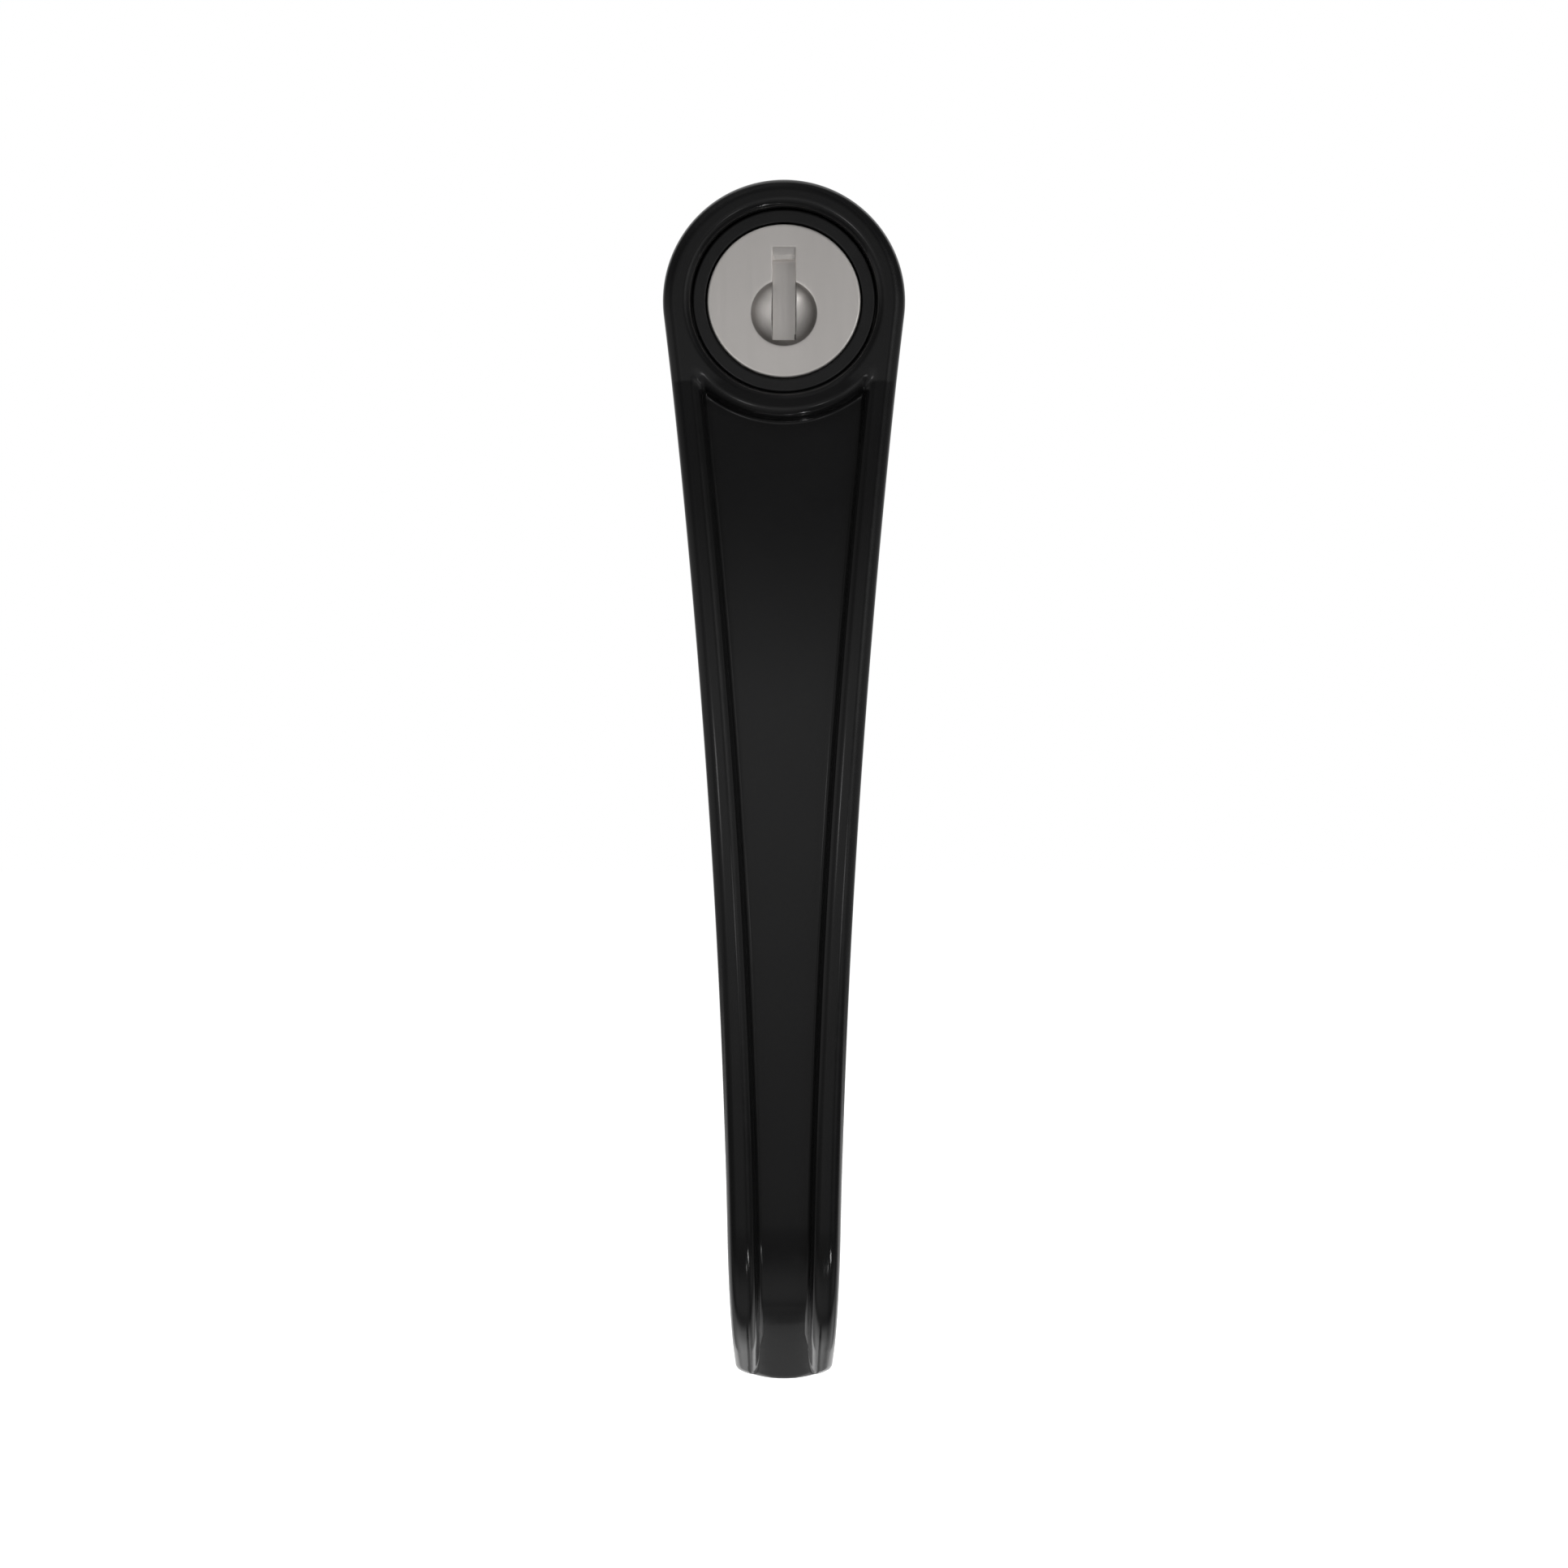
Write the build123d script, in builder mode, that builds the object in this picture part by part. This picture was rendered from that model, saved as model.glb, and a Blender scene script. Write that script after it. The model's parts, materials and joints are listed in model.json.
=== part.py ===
"""Keyed lever lock for a window sash.

A cast lever stands on a round base that a nut clamps through the sash. The lever turns a spindle with a
cam behind the sash. A wafer lock in the lever's head drives a bolt into the base and holds the lever.

Frame: the origin is on the spindle's axis, at the sash face that the gasket rests on. -Y points at the
user, +Y goes through the sash, +Z is up and +X is to the user's right. The lever hangs along -Z.
All sizes are in millimetres.
"""

import math
import os

from build123d import *

os.makedirs("parts", exist_ok=True)

# Clearances
running_gap = 0.05  # shaft in its bearing, each side
seat_gap = 0.1  # loose fit of a piece in its pocket, each side
free_gap = 0.3  # moving faces that never bear on each other
screw_end_gap = 0.5  # between a screw's end and the bottom of its hole

# Sash, gasket and base
sash_thickness = 5.0
gasket_thickness = 1.0
flange_thickness = 3.2
flange_inset = 0.2  # from the lever's head
barrel_radius = 8.0
barrel_length = 16.0  # behind the sash face
barrel_flat_depth = 0.8
barrel_chamfer = 1.0
collar_wall = 1.3
collar_height = 8.1  # above the flange
nut_wall = 2.0  # least wall round the barrel
nut_thickness = 4.0
nut_corner_drop = 0.8  # how far the nut's corners are turned down
nut_cone_start = 0.2  # from its flats
tab_washer_thickness = 1.0
tab_washer_width = 2.5

# Key and wafer lock
key_width = 2.38
key_height = 8.44
key_centre_z = 0.21
key_ramp_length = 1.09  # the slope above the slot in the face
key_ramp_depth = 0.9
plug_wall = 1.98  # beyond the key's edge
face_cap_overhang = 1.7  # beyond the plug
face_cap_thickness = 1.6
face_cap_edge = 0.15
dimple_radius = 3.43
dimple_depth = 0.55
dimple_z = -1.25
shell_wall = 1.95
lock_ring_width = 1.35  # the black ring round the steel face
lock_flange_floor = 1.0  # behind the steel face
lock_sink = 1.0  # from the lever's land down to the steel face
plug_tail = 1.4  # behind the last wafer's middle
keyway_end_wall = 0.8
wafer_count = 5
wafer_pitch = 1.2
wafer_thickness = 0.65
wafer_front_wall = 0.225  # between the shutter's pocket and the first wafer
wafer_side_wall = 1.4
wafer_end_gap = 0.28  # from a wafer's corners in to the plug's surface
wafer_travel = 0.8
wafer_lug_length = 1.2
wafer_lug_height = 1.0
wafer_lug_z = 0.3
wafer_spring_length = 2.8  # with the seats at both ends
wafer_spring_wall = 0.15
shutter_thickness = 0.4
shutter_axis_inset = 0.31  # from the slot's edge
shutter_pin_radius = 0.25
shutter_pin_fit = 0.01
shutter_knuckle_wall = 0.15
shutter_overlap = 0.05  # past the slot's other edge
shutter_side_gap = 0.08
shutter_swing_room = 0.46
shutter_pocket_below = 0.6
shutter_pocket_above = 0.45
shutter_end_gap = 0.15
shutter_pin_end = 0.4  # the trench beyond the pocket
shutter_spring_length = 1.2
shutter_spring_bore_gap = 0.03
set_screw_radius = 1.45
set_screw_setback = 4.4  # behind the lock's flange
set_screw_point = 0.6  # in the lock's shell
set_screw_point_chamfer = 0.4
set_screw_sink = 0.6  # below the head's rim
set_screw_key_flats = 1.5
set_screw_key_depth = 1.5

# Lever's head round the lock
lock_mouth_round = 0.95
land_width = 0.75
outer_round = 1.25
skirt_wall = 1.4

# Lever, seen from the front
lever_reach = 114.0  # spindle axis to the tip
side_arc_radius = 930.0
nose_length = 18.0  # from the tip to where its sides start to turn in
nose_flare = 0.68  # how much wider the lever is there, each side
nose_half_width = 5.15
nose_corner_height = 1.6  # how far the tip's corners stand back from its crown
rail_width = 2.45  # from the lever's outline to the wall of its recess
recess_top_inset = 0.9  # from the head's rim
recess_corner_round = 0.8
back_round = 1.5
tip_back_round = 0.8

# Lever, seen from the side
bend_z = -8.45
rise_angle = 10.0
rise_end_z = -16.0
crown_z = -46.0
fall_angle = 3.0
fall_start_z = -69.0
nose_bend_length = 18.8  # from the tip to where the front bends down
nose_bend_radius = 17.5
tip_angle = 60.0
recess_depth = 1.8
recess_tip_angle = 50.0
arm_thickness_root = 6.5
arm_thickness_tip = 4.6
past_tip = 2.0

# Driver disc and lock bolt
driver_inset = 0.5  # from the lock's bore
driver_thickness = 1.6
driver_screw_radius = 1.2
driver_screw_length = 2.2
driver_screw_head_height = 1.0
driver_screw_cross_length = 1.6
driver_screw_cross_width = 0.5
driver_screw_cross_depth = 0.6
tang_half_width = 2.0
bolt_width = 3.0
bolt_thickness = 2.1
bolt_stand = 0.1  # above the collar
bolt_tail_wall = 0.7  # between the bolt and the screw's well
bolt_throw = 1.5
bolt_tip_inset = 0.25  # inside the hub when it is drawn back
bolt_tip_chamfer = 0.4
bolt_pin_radius = 0.8
bolt_pin_edge = 0.4  # from the pin to the bolt's tail
lever_swing = 90.0
key_swing = 90.0
spiral_overrun = 5  # degrees of slot past each end of the key's turn

# Spindle, its fasteners and the cam
spindle_radius = 4.5
socket_roof = 1.5  # between the spindle's tang and its screw's seat
spindle_screw_radius = 1.45
spindle_screw_head_radius = 2.6
spindle_screw_head_round = 0.5
spindle_screw_length = 6.0
spindle_screw_head_height = 2.0
spindle_screw_key_flats = 2.5
spindle_screw_key_depth = 1.2
thrust_washer_thickness = 0.5
thrust_washer_width = 0.95
o_ring_section_radius = 0.6
o_ring_groove_depth = 1.25
o_ring_groove_side_gap = 0.2
o_ring_height = -3.0
stop_pin_radius = 1.25
stop_pin_turn = 225.0  # its place round the spindle from +X towards +Z, with the lever down
stop_pin_reach = 1.2  # into the base's stop groove
stop_pin_hold = 4.0  # in the lever's hub
stop_pin_fit = 0.02
stop_pin_chamfer = 0.2
wave_washer_thickness = 0.7
wave_washer_margin = 0.4  # beyond the circlip
circlip_thickness = 0.8
circlip_groove_depth = 0.8
circlip_stand = 1.7  # beyond the spindle
circlip_mouth = 2.4
circlip_corner = 0.3
cam_gap = 0.6  # from the circlip
cam_thickness = 3.0
cam_half_width = 8.0
cam_reach = 38.0
cam_tip_round = 5.0
cam_edge = 0.4
cam_washer_margin = 1.0  # beyond the spindle
cam_washer_thickness = 1.0
cam_screw_radius = 2.45
cam_screw_length = 9.0  # in the spindle
cam_screw_across_flats = 8.0
cam_screw_head_height = 3.5

# Sizes square to the spindle that follow from those above
key_bottom_z = key_centre_z - key_height / 2
key_top_z = key_centre_z + key_height / 2
plug_radius = key_height / 2 + plug_wall
face_cap_radius = plug_radius + face_cap_overhang
lock_rim_radius = face_cap_radius + 2 * seat_gap
lock_mouth_radius = lock_rim_radius + lock_ring_width + seat_gap
lock_bore_radius = plug_radius + running_gap + shell_wall + seat_gap
head_radius = lock_mouth_radius + lock_mouth_round + land_width + outer_round
skirt_inner_radius = head_radius - skirt_wall
collar_outer_radius = skirt_inner_radius - free_gap
collar_inner_radius = collar_outer_radius - collar_wall
hub_radius = collar_inner_radius - running_gap
flange_radius = head_radius - flange_inset
# the lever's sides are arcs that touch the round head, this far below the horizontal
nose_root_x = nose_half_width + nose_flare
nose_root_z = lever_reach - nose_length
nose_root_reach = math.hypot(nose_root_x, nose_root_z)
side_centre_reach = side_arc_radius + head_radius
side_centre_square = side_centre_reach**2 + nose_root_reach**2 - side_arc_radius**2
side_centre_turn = math.acos(side_centre_square / (2 * side_centre_reach * nose_root_reach))
side_start_angle = math.degrees(math.atan2(nose_root_z, nose_root_x) - side_centre_turn)
barrel_flat_half_width = barrel_radius - barrel_flat_depth
nut_half_flats = barrel_radius + nut_wall
wafer_window_half_width = key_width / 2 + seat_gap
wafer_half_width = wafer_window_half_width + wafer_side_wall
wafer_half_height = math.sqrt(plug_radius**2 - wafer_half_width**2) - wafer_end_gap
wafer_slot = wafer_thickness + seat_gap
wafer_spring_radius = (wafer_slot - seat_gap) / 2
driver_radius = lock_bore_radius - driver_inset
screw_well_radius = spindle_screw_head_radius + 2 * seat_gap
driver_screw_head_radius = screw_well_radius - free_gap
bolt_tail_z = screw_well_radius + bolt_tail_wall
bolt_pin_z = bolt_tail_z + bolt_pin_edge + bolt_pin_radius
bolt_tip_z = hub_radius - bolt_tip_inset
square_half_width = (spindle_radius - running_gap) / math.sqrt(2)
thrust_washer_radius = spindle_radius + thrust_washer_width
stop_pin_orbit = thrust_washer_radius + free_gap + stop_pin_radius
o_ring_seat_radius = spindle_radius - o_ring_groove_depth
circlip_seat_radius = spindle_radius - circlip_groove_depth
circlip_radius = spindle_radius + circlip_stand
shutter_axis_x = key_width / 2 + shutter_axis_inset
shutter_knuckle_radius = shutter_pin_radius + shutter_knuckle_wall
shutter_left_x = -key_width / 2 - shutter_overlap
shutter_pocket_depth = shutter_axis_x - shutter_left_x + shutter_swing_room

# Heights that follow from those above. A height is a distance from the sash towards the user.
flange_top = gasket_thickness + flange_thickness
collar_top = flange_top + collar_height
skirt_end = flange_top + free_gap
hub_end = flange_top + thrust_washer_thickness + seat_gap
bolt_top = collar_top + bolt_stand
channel_floor = bolt_top - bolt_thickness - running_gap
cavity_floor = bolt_top + running_gap
driver_back = bolt_top + free_gap + seat_gap
screw_seat = driver_back - driver_screw_head_height - free_gap - seat_gap - spindle_screw_head_height
tang_top = screw_seat - socket_roof
plug_back = driver_back + driver_thickness
shell_back = plug_back + running_gap
last_wafer_height = plug_back + plug_tail
first_wafer_height = last_wafer_height + (wafer_count - 1) * wafer_pitch
pocket_floor = first_wafer_height + wafer_slot / 2 + wafer_front_wall
face_cap_back = pocket_floor + shutter_pocket_depth
lock_face_height = face_cap_back + face_cap_thickness
shell_flange_back = face_cap_back - lock_flange_floor
land_height = lock_face_height + lock_sink
set_screw_height = shell_flange_back - set_screw_setback
barrel_end = -barrel_length
circlip_front = barrel_end - wave_washer_thickness - seat_gap
cam_front = circlip_front - circlip_thickness - cam_gap
cam_back = cam_front - cam_thickness
nut_front = -sash_thickness - tab_washer_thickness
nut_back = nut_front - nut_thickness


def polar(radius, degrees):
    """A point of the front view at an angle from +X, turning towards +Z."""
    return (radius * math.cos(math.radians(degrees)), radius * math.sin(math.radians(degrees)))


def at_height(height):
    """The plane square to the spindle, this far from the sash. Its sketches read as the user sees them."""
    return Plane.XZ.offset(height)


def profile(*corners):
    """Add a face with these (radius, height) corners to the open sketch, for turning about the spindle."""
    return Polygon(*[(radius, -height) for radius, height in corners], align=None)


def outline_edges(faces):
    """The edges that belong to only one of the faces."""
    edges = [edge for face in faces for edge in face.edges()]
    return ShapeList(edge for edge in edges if sum(edge.is_same(other) for other in edges) == 1)


def side_path(inset_root, inset_tip, end_angle):
    """The corner points of the lever's side view, as (y, z), at a depth below its front face.

    The depth goes evenly from inset_root at the head to inset_tip at the tip.
    """
    rise = math.radians(rise_angle)
    fall = math.radians(fall_angle)
    end = math.radians(end_angle)
    crown_radius = (rise_end_z - crown_z) / math.sin(rise)
    fall_radius = (crown_z - fall_start_z) / math.sin(fall)
    bend_y = -land_height
    rise_end_y = bend_y - (bend_z - rise_end_z) * math.tan(rise)
    crown_y = rise_end_y - crown_radius * (1 - math.cos(rise))
    fall_start_y = crown_y + fall_radius * (1 - math.cos(fall))
    nose_bend_z = -lever_reach + nose_bend_length
    nose_bend_y = fall_start_y + (fall_start_z - nose_bend_z) * math.tan(fall)
    nose_end_z = nose_bend_z - nose_bend_radius * (math.sin(end) - math.sin(fall))
    nose_end_y = nose_bend_y + nose_bend_radius * (math.cos(fall) - math.cos(end))
    past_tip_z = -lever_reach - past_tip
    past_tip_y = nose_end_y + (nose_end_z - past_tip_z) * math.tan(end)
    corners = [
        (bend_y, bend_z, rise / 2),
        (rise_end_y, rise_end_z, rise),
        (crown_y, crown_z, 0.0),
        (fall_start_y, fall_start_z, -fall),
        (nose_bend_y, nose_bend_z, -fall),
        (nose_end_y, nose_end_z, -end),
        (past_tip_y, past_tip_z, -end),
    ]
    path = []
    for y, z, lean in corners:
        share = (bend_z - z) / (bend_z - past_tip_z)
        inset = inset_root + (inset_tip - inset_root) * share
        path.append((y + inset * math.cos(lean), z - inset * math.sin(lean)))
    return path


def draw_side(path):
    """Draw a side_path in the open BuildLine: a slope, two long bows, a fall, the nose's bend and its end."""
    bend, rise_end, crown, fall_start, nose_bend, nose_end, past_tip = path
    slope = Line(bend, rise_end)
    bow = TangentArc(rise_end, crown, tangent=slope % 1)
    ease = TangentArc(crown, fall_start, tangent=bow % 1)
    fall = Line(fall_start, nose_bend)
    nose = TangentArc(nose_bend, nose_end, tangent=fall % 1)
    Line(nose_end, past_tip)
    return nose


def draw_half_outline(inset):
    """Draw one side of the lever's front view in the open BuildLine, moved in by inset. Returns its ends."""
    root = Vector(*polar(head_radius, -side_start_angle))
    nose_root = Vector(nose_root_x, -nose_root_z)
    chord = nose_root - root
    inward = Vector(-chord.Y, chord.X).normalized()
    centre = (root + nose_root) / 2 + inward * math.sqrt(side_arc_radius**2 - (chord.length / 2) ** 2)
    start = root - (centre - root).normalized() * inset
    nose_start = nose_root - (centre - nose_root).normalized() * inset
    side = RadiusArc(start, nose_start, -side_arc_radius - inset)
    nose_end = Vector(nose_half_width - inset, -lever_reach + nose_corner_height)
    TangentArc(nose_start, nose_end, tangent=side % 1)
    return start, nose_end


# Base: the flange and its collar stand on the sash, and the barrel goes through it
with BuildPart() as base_housing:
    with BuildSketch(Plane.XY):
        profile(
            (spindle_radius + running_gap, flange_top),
            (collar_inner_radius, flange_top),
            (collar_inner_radius, collar_top),
            (collar_outer_radius, collar_top),
            (collar_outer_radius, flange_top),
            (flange_radius, flange_top),
            (flange_radius, gasket_thickness),
            (barrel_radius, gasket_thickness),
            (barrel_radius, barrel_end + barrel_chamfer),
            (barrel_radius - barrel_chamfer, barrel_end),
            (spindle_radius + running_gap, barrel_end),
        )
    revolve(axis=Axis.Y)
    # two flats stop the barrel turning in the sash
    with BuildSketch(at_height(gasket_thickness)):
        cut_middle_x = barrel_flat_half_width + barrel_radius
        with Locations((cut_middle_x, 0), (-cut_middle_x, 0)):
            Rectangle(2 * barrel_radius, 4 * barrel_radius)
    extrude(amount=-(gasket_thickness + barrel_length), mode=Mode.SUBTRACT)
    # notches that the lock bolt enters with the lever down and with it turned
    with BuildSketch(at_height(collar_top)):
        for turn in (90, 90 - lever_swing):
            with Locations(polar((collar_inner_radius + collar_outer_radius) / 2, turn)):
                Rectangle(2 * collar_wall, bolt_width + 4 * seat_gap, rotation=turn)
    extrude(amount=-(collar_top - channel_floor + seat_gap), mode=Mode.SUBTRACT)
    # the groove that the lever's stop pin runs in
    with BuildSketch(at_height(flange_top)):
        SlotArc(
            CenterArc((0, 0), stop_pin_orbit, stop_pin_turn - lever_swing, lever_swing, mode=Mode.PRIVATE),
            2 * (stop_pin_radius + 2 * seat_gap),
        )
    extrude(amount=-(stop_pin_reach + free_gap), mode=Mode.SUBTRACT)
base_housing.part.label = "base_housing"
export_step(base_housing.part, "parts/base_housing.step")

with BuildPart() as sash_gasket:
    with BuildSketch(at_height(0)):
        Circle(flange_radius - free_gap)
        Circle(barrel_radius + seat_gap, mode=Mode.SUBTRACT)
    extrude(amount=gasket_thickness)
sash_gasket.part.label = "sash_gasket"
export_step(sash_gasket.part, "parts/sash_gasket.step")

# Behind the sash: a washer with a tab into the barrel's flat, and the hexagon nut
with BuildPart() as tab_washer:
    with BuildSketch(at_height(-sash_thickness)):
        Circle(barrel_radius + tab_washer_width)
        with BuildSketch(mode=Mode.PRIVATE) as barrel_shape:
            Circle(barrel_radius + seat_gap)
            Rectangle(2 * (barrel_flat_half_width + seat_gap), 4 * barrel_radius, mode=Mode.INTERSECT)
        add(barrel_shape.sketch, mode=Mode.SUBTRACT)
    extrude(amount=-tab_washer_thickness)
tab_washer.part.label = "tab_washer"
export_step(tab_washer.part, "parts/tab_washer.step")

with BuildPart() as mounting_nut:
    with BuildSketch(at_height(nut_front)):
        RegularPolygon(nut_half_flats, 6, major_radius=False)
    extrude(amount=-nut_thickness)
    # the corners are turned down to a cone on both sides
    with BuildSketch(Plane.XY):
        nut_corner = 2 * nut_half_flats / math.sqrt(3)
        profile(
            (0, nut_front),
            (nut_half_flats - nut_cone_start, nut_front),
            (nut_corner, nut_front - nut_corner_drop),
            (nut_corner, nut_back + nut_corner_drop),
            (nut_half_flats - nut_cone_start, nut_back),
            (0, nut_back),
        )
    revolve(axis=Axis.Y, mode=Mode.INTERSECT)
    with BuildSketch(at_height(nut_front)):
        Circle(barrel_radius + running_gap)
    extrude(amount=-nut_thickness, mode=Mode.SUBTRACT)
mounting_nut.part.label = "mounting_nut"
export_step(mounting_nut.part, "parts/mounting_nut.step")


# Lever: a round head with a skirt over the collar, and an arm with a sunk front between two rails
with BuildPart() as lever_head:
    with BuildSketch(at_height(skirt_end)):
        Circle(head_radius)
    extrude(amount=land_height - skirt_end)
    fillet(lever_head.faces().sort_by(Axis.Y)[0].edges(), outer_round)

with BuildPart() as recess:
    with BuildSketch(Plane.YZ):
        with BuildLine():
            floor = side_path(recess_depth, recess_depth, recess_tip_angle)
            draw_side(floor)
            clear_y = -2 * land_height
            Polyline(floor[-1], (clear_y, floor[-1][1]), (clear_y, 0), (floor[0][0], 0), floor[0])
        make_face()
    extrude(amount=head_radius, both=True)
    with BuildSketch(at_height(0)) as recess_outline:
        with BuildLine():
            side_start, side_end = draw_half_outline(rail_width)
            past_crown_z = -lever_reach - 2 * past_tip
            Polyline(side_end, (side_end.X, past_crown_z), (0, past_crown_z), (0, 0), side_start)
        make_face()
        mirror(about=Plane.YZ)
        Circle(head_radius - recess_top_inset, mode=Mode.SUBTRACT)
        fillet(recess_outline.vertices().sort_by(Axis.Y)[-2:], recess_corner_round)
    extrude(amount=2 * land_height, mode=Mode.INTERSECT)

with BuildPart() as lever:
    with BuildSketch(Plane.YZ):
        with BuildLine():
            front = side_path(0, 0, tip_angle)
            back = side_path(arm_thickness_root, arm_thickness_tip, tip_angle)
            draw_side(front)
            draw_side(back)
            Line(front[-1], back[-1])
            Polyline(back[0], (back[0][0], 0), (front[0][0], 0), front[0])
        make_face()
    extrude(amount=2 * head_radius, both=True)
    with BuildSketch(at_height(0)):
        with BuildLine():
            side_start, side_end = draw_half_outline(0)
            TangentArc((0, -lever_reach), side_end, tangent=(1, 0))
            Polyline((0, -lever_reach), (0, 0), side_start)
        make_face()
        mirror(about=Plane.YZ)
    extrude(amount=2 * land_height, mode=Mode.INTERSECT)
    front_faces = lever.faces().filter_by(lambda face: face.normal_at().Y < -0.4)
    fillet(outline_edges(front_faces).filter_by(GeomType.LINE, reverse=True), outer_round)
    back_faces = lever.faces().filter_by(lambda face: face.normal_at().Y > 0.4)
    side_edges = outline_edges(back_faces).filter_by(lambda edge: abs(edge.center().X) > nose_half_width / 2)
    fillet(side_edges.filter_by(lambda edge: edge.center().Z > back[-1][1] + past_tip / 4), back_round)
    tip_edges = lever.edges().filter_by(Axis.X).sort_by(lambda edge: abs(edge.center().Z - back[-1][1]))
    fillet(tip_edges[0], tip_back_round)
    add(lever_head.part)
    add(recess.part, mode=Mode.SUBTRACT)
    # the bore for the lock with its rounded mouth, down to the web
    with BuildSketch(Plane.XY):
        profile(
            (0, cavity_floor),
            (lock_bore_radius, cavity_floor),
            (lock_bore_radius, shell_flange_back - seat_gap),
            (lock_mouth_radius, shell_flange_back - seat_gap),
            (lock_mouth_radius, land_height + 1),
            (0, land_height + 1),
        )
    revolve(axis=Axis.Y, mode=Mode.SUBTRACT)
    with BuildSketch(Plane.XY):
        with BuildLine():
            mouth_low = (lock_mouth_radius, -(land_height - lock_mouth_round))
            mouth_wide = (lock_mouth_radius + lock_mouth_round, -land_height)
            RadiusArc(mouth_low, mouth_wide, -lock_mouth_round)
            Polyline(mouth_wide, (mouth_wide[0], -land_height - 1), (mouth_low[0] - 1, -land_height - 1),
                     (mouth_low[0] - 1, mouth_low[1]), mouth_low)
        make_face()
    revolve(axis=Axis.Y, mode=Mode.SUBTRACT)
    # the ring-shaped space for the collar, between the hub and the skirt
    with BuildSketch(Plane.XY):
        profile(
            (hub_radius, collar_top + free_gap),
            (skirt_inner_radius, collar_top + free_gap),
            (skirt_inner_radius, skirt_end - 1),
            (0, skirt_end - 1),
            (0, hub_end),
            (hub_radius, hub_end),
        )
    revolve(axis=Axis.Y, mode=Mode.SUBTRACT)
    # the channel for the lock bolt, out through the hub's wall
    with BuildSketch(at_height(channel_floor)):
        with Locations((0, (bolt_tail_z - seat_gap + collar_outer_radius) / 2)):
            Rectangle(bolt_width + 2 * running_gap, collar_outer_radius - bolt_tail_z + seat_gap)
    extrude(amount=cavity_floor - channel_floor, mode=Mode.SUBTRACT)
    # the seat of the spindle's screw, its hole and the square socket behind it
    with BuildSketch(at_height(screw_seat)):
        Circle(screw_well_radius)
    extrude(amount=land_height - screw_seat, mode=Mode.SUBTRACT)
    with BuildSketch(at_height(hub_end)):
        Circle(spindle_screw_radius + 2 * seat_gap)
    extrude(amount=screw_seat - hub_end, mode=Mode.SUBTRACT)
    with BuildSketch(at_height(hub_end)):
        Rectangle(2 * (square_half_width + running_gap), 2 * (square_half_width + running_gap))
    extrude(amount=tang_top + seat_gap - hub_end, mode=Mode.SUBTRACT)
    # the hole for the stop pin, from behind
    with BuildSketch(at_height(hub_end)):
        with Locations(polar(stop_pin_orbit, stop_pin_turn)):
            Circle(stop_pin_radius + stop_pin_fit)
    extrude(amount=stop_pin_hold + seat_gap, mode=Mode.SUBTRACT)
    # the tapped hole on top for the screw that holds the lock
    with BuildSketch(Plane.XY.offset(lock_bore_radius - seat_gap - shell_wall / 2)):
        with Locations((0, -set_screw_height)):
            Circle(set_screw_radius + running_gap)
    extrude(amount=head_radius, mode=Mode.SUBTRACT)
lever.part.label = "lever"
export_step(lever.part, "parts/lever.step")


# Wafer lock: the shell is fixed in the lever, and the plug turns in it behind the steel face
wafer_heights = [first_wafer_height - wafer_pitch * index for index in range(wafer_count)]
groove_radius = plug_radius + wafer_travel + 2 * seat_gap
set_screw_end_z = lock_bore_radius - set_screw_point
set_screw_length = head_radius - set_screw_sink - set_screw_end_z

with BuildPart() as lock_shell:
    with BuildSketch(Plane.XY):
        profile(
            (plug_radius + running_gap, shell_back),
            (lock_bore_radius - seat_gap, shell_back),
            (lock_bore_radius - seat_gap, shell_flange_back),
            (lock_mouth_radius - seat_gap, shell_flange_back),
            (lock_mouth_radius - seat_gap, lock_face_height),
            (lock_rim_radius, lock_face_height),
            (lock_rim_radius, face_cap_back - running_gap),
            (plug_radius + running_gap, face_cap_back - running_gap),
        )
    revolve(axis=Axis.Y)
    # grooves that the wafers spring into with the plug at either end of its turn
    groove_front = wafer_heights[0] + wafer_slot
    groove_back = wafer_heights[-1] - wafer_slot
    with BuildSketch(at_height(groove_back)):
        for turn in (90, 0):
            with Locations(polar((wafer_half_height + groove_radius) / 2, turn)):
                Rectangle(groove_radius - wafer_half_height, 2 * (wafer_half_width + free_gap), rotation=turn)
    extrude(amount=groove_front - groove_back, mode=Mode.SUBTRACT)
    # a dimple for the point of the set screw
    with BuildSketch(Plane.XY.offset(set_screw_end_z - seat_gap)):
        with Locations((0, -set_screw_height)):
            Circle(set_screw_radius + seat_gap)
    extrude(amount=shell_wall, mode=Mode.SUBTRACT)
lock_shell.part.label = "lock_shell"
export_step(lock_shell.part, "parts/lock_shell.step")

with BuildPart() as lock_set_screw:
    with BuildSketch(Plane.XY.offset(set_screw_end_z)):
        with Locations((0, -set_screw_height)):
            Circle(set_screw_radius)
    extrude(amount=set_screw_length)
    chamfer(lock_set_screw.faces().sort_by(Axis.Z)[0].edges(), set_screw_point_chamfer)
    with BuildSketch(Plane.XY.offset(set_screw_end_z + set_screw_length)):
        with Locations((0, -set_screw_height)):
            RegularPolygon(set_screw_key_flats / 2, 6, major_radius=False)
    extrude(amount=-set_screw_key_depth, mode=Mode.SUBTRACT)
lock_set_screw.part.label = "lock_set_screw"
export_step(lock_set_screw.part, "parts/lock_set_screw.step")

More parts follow.
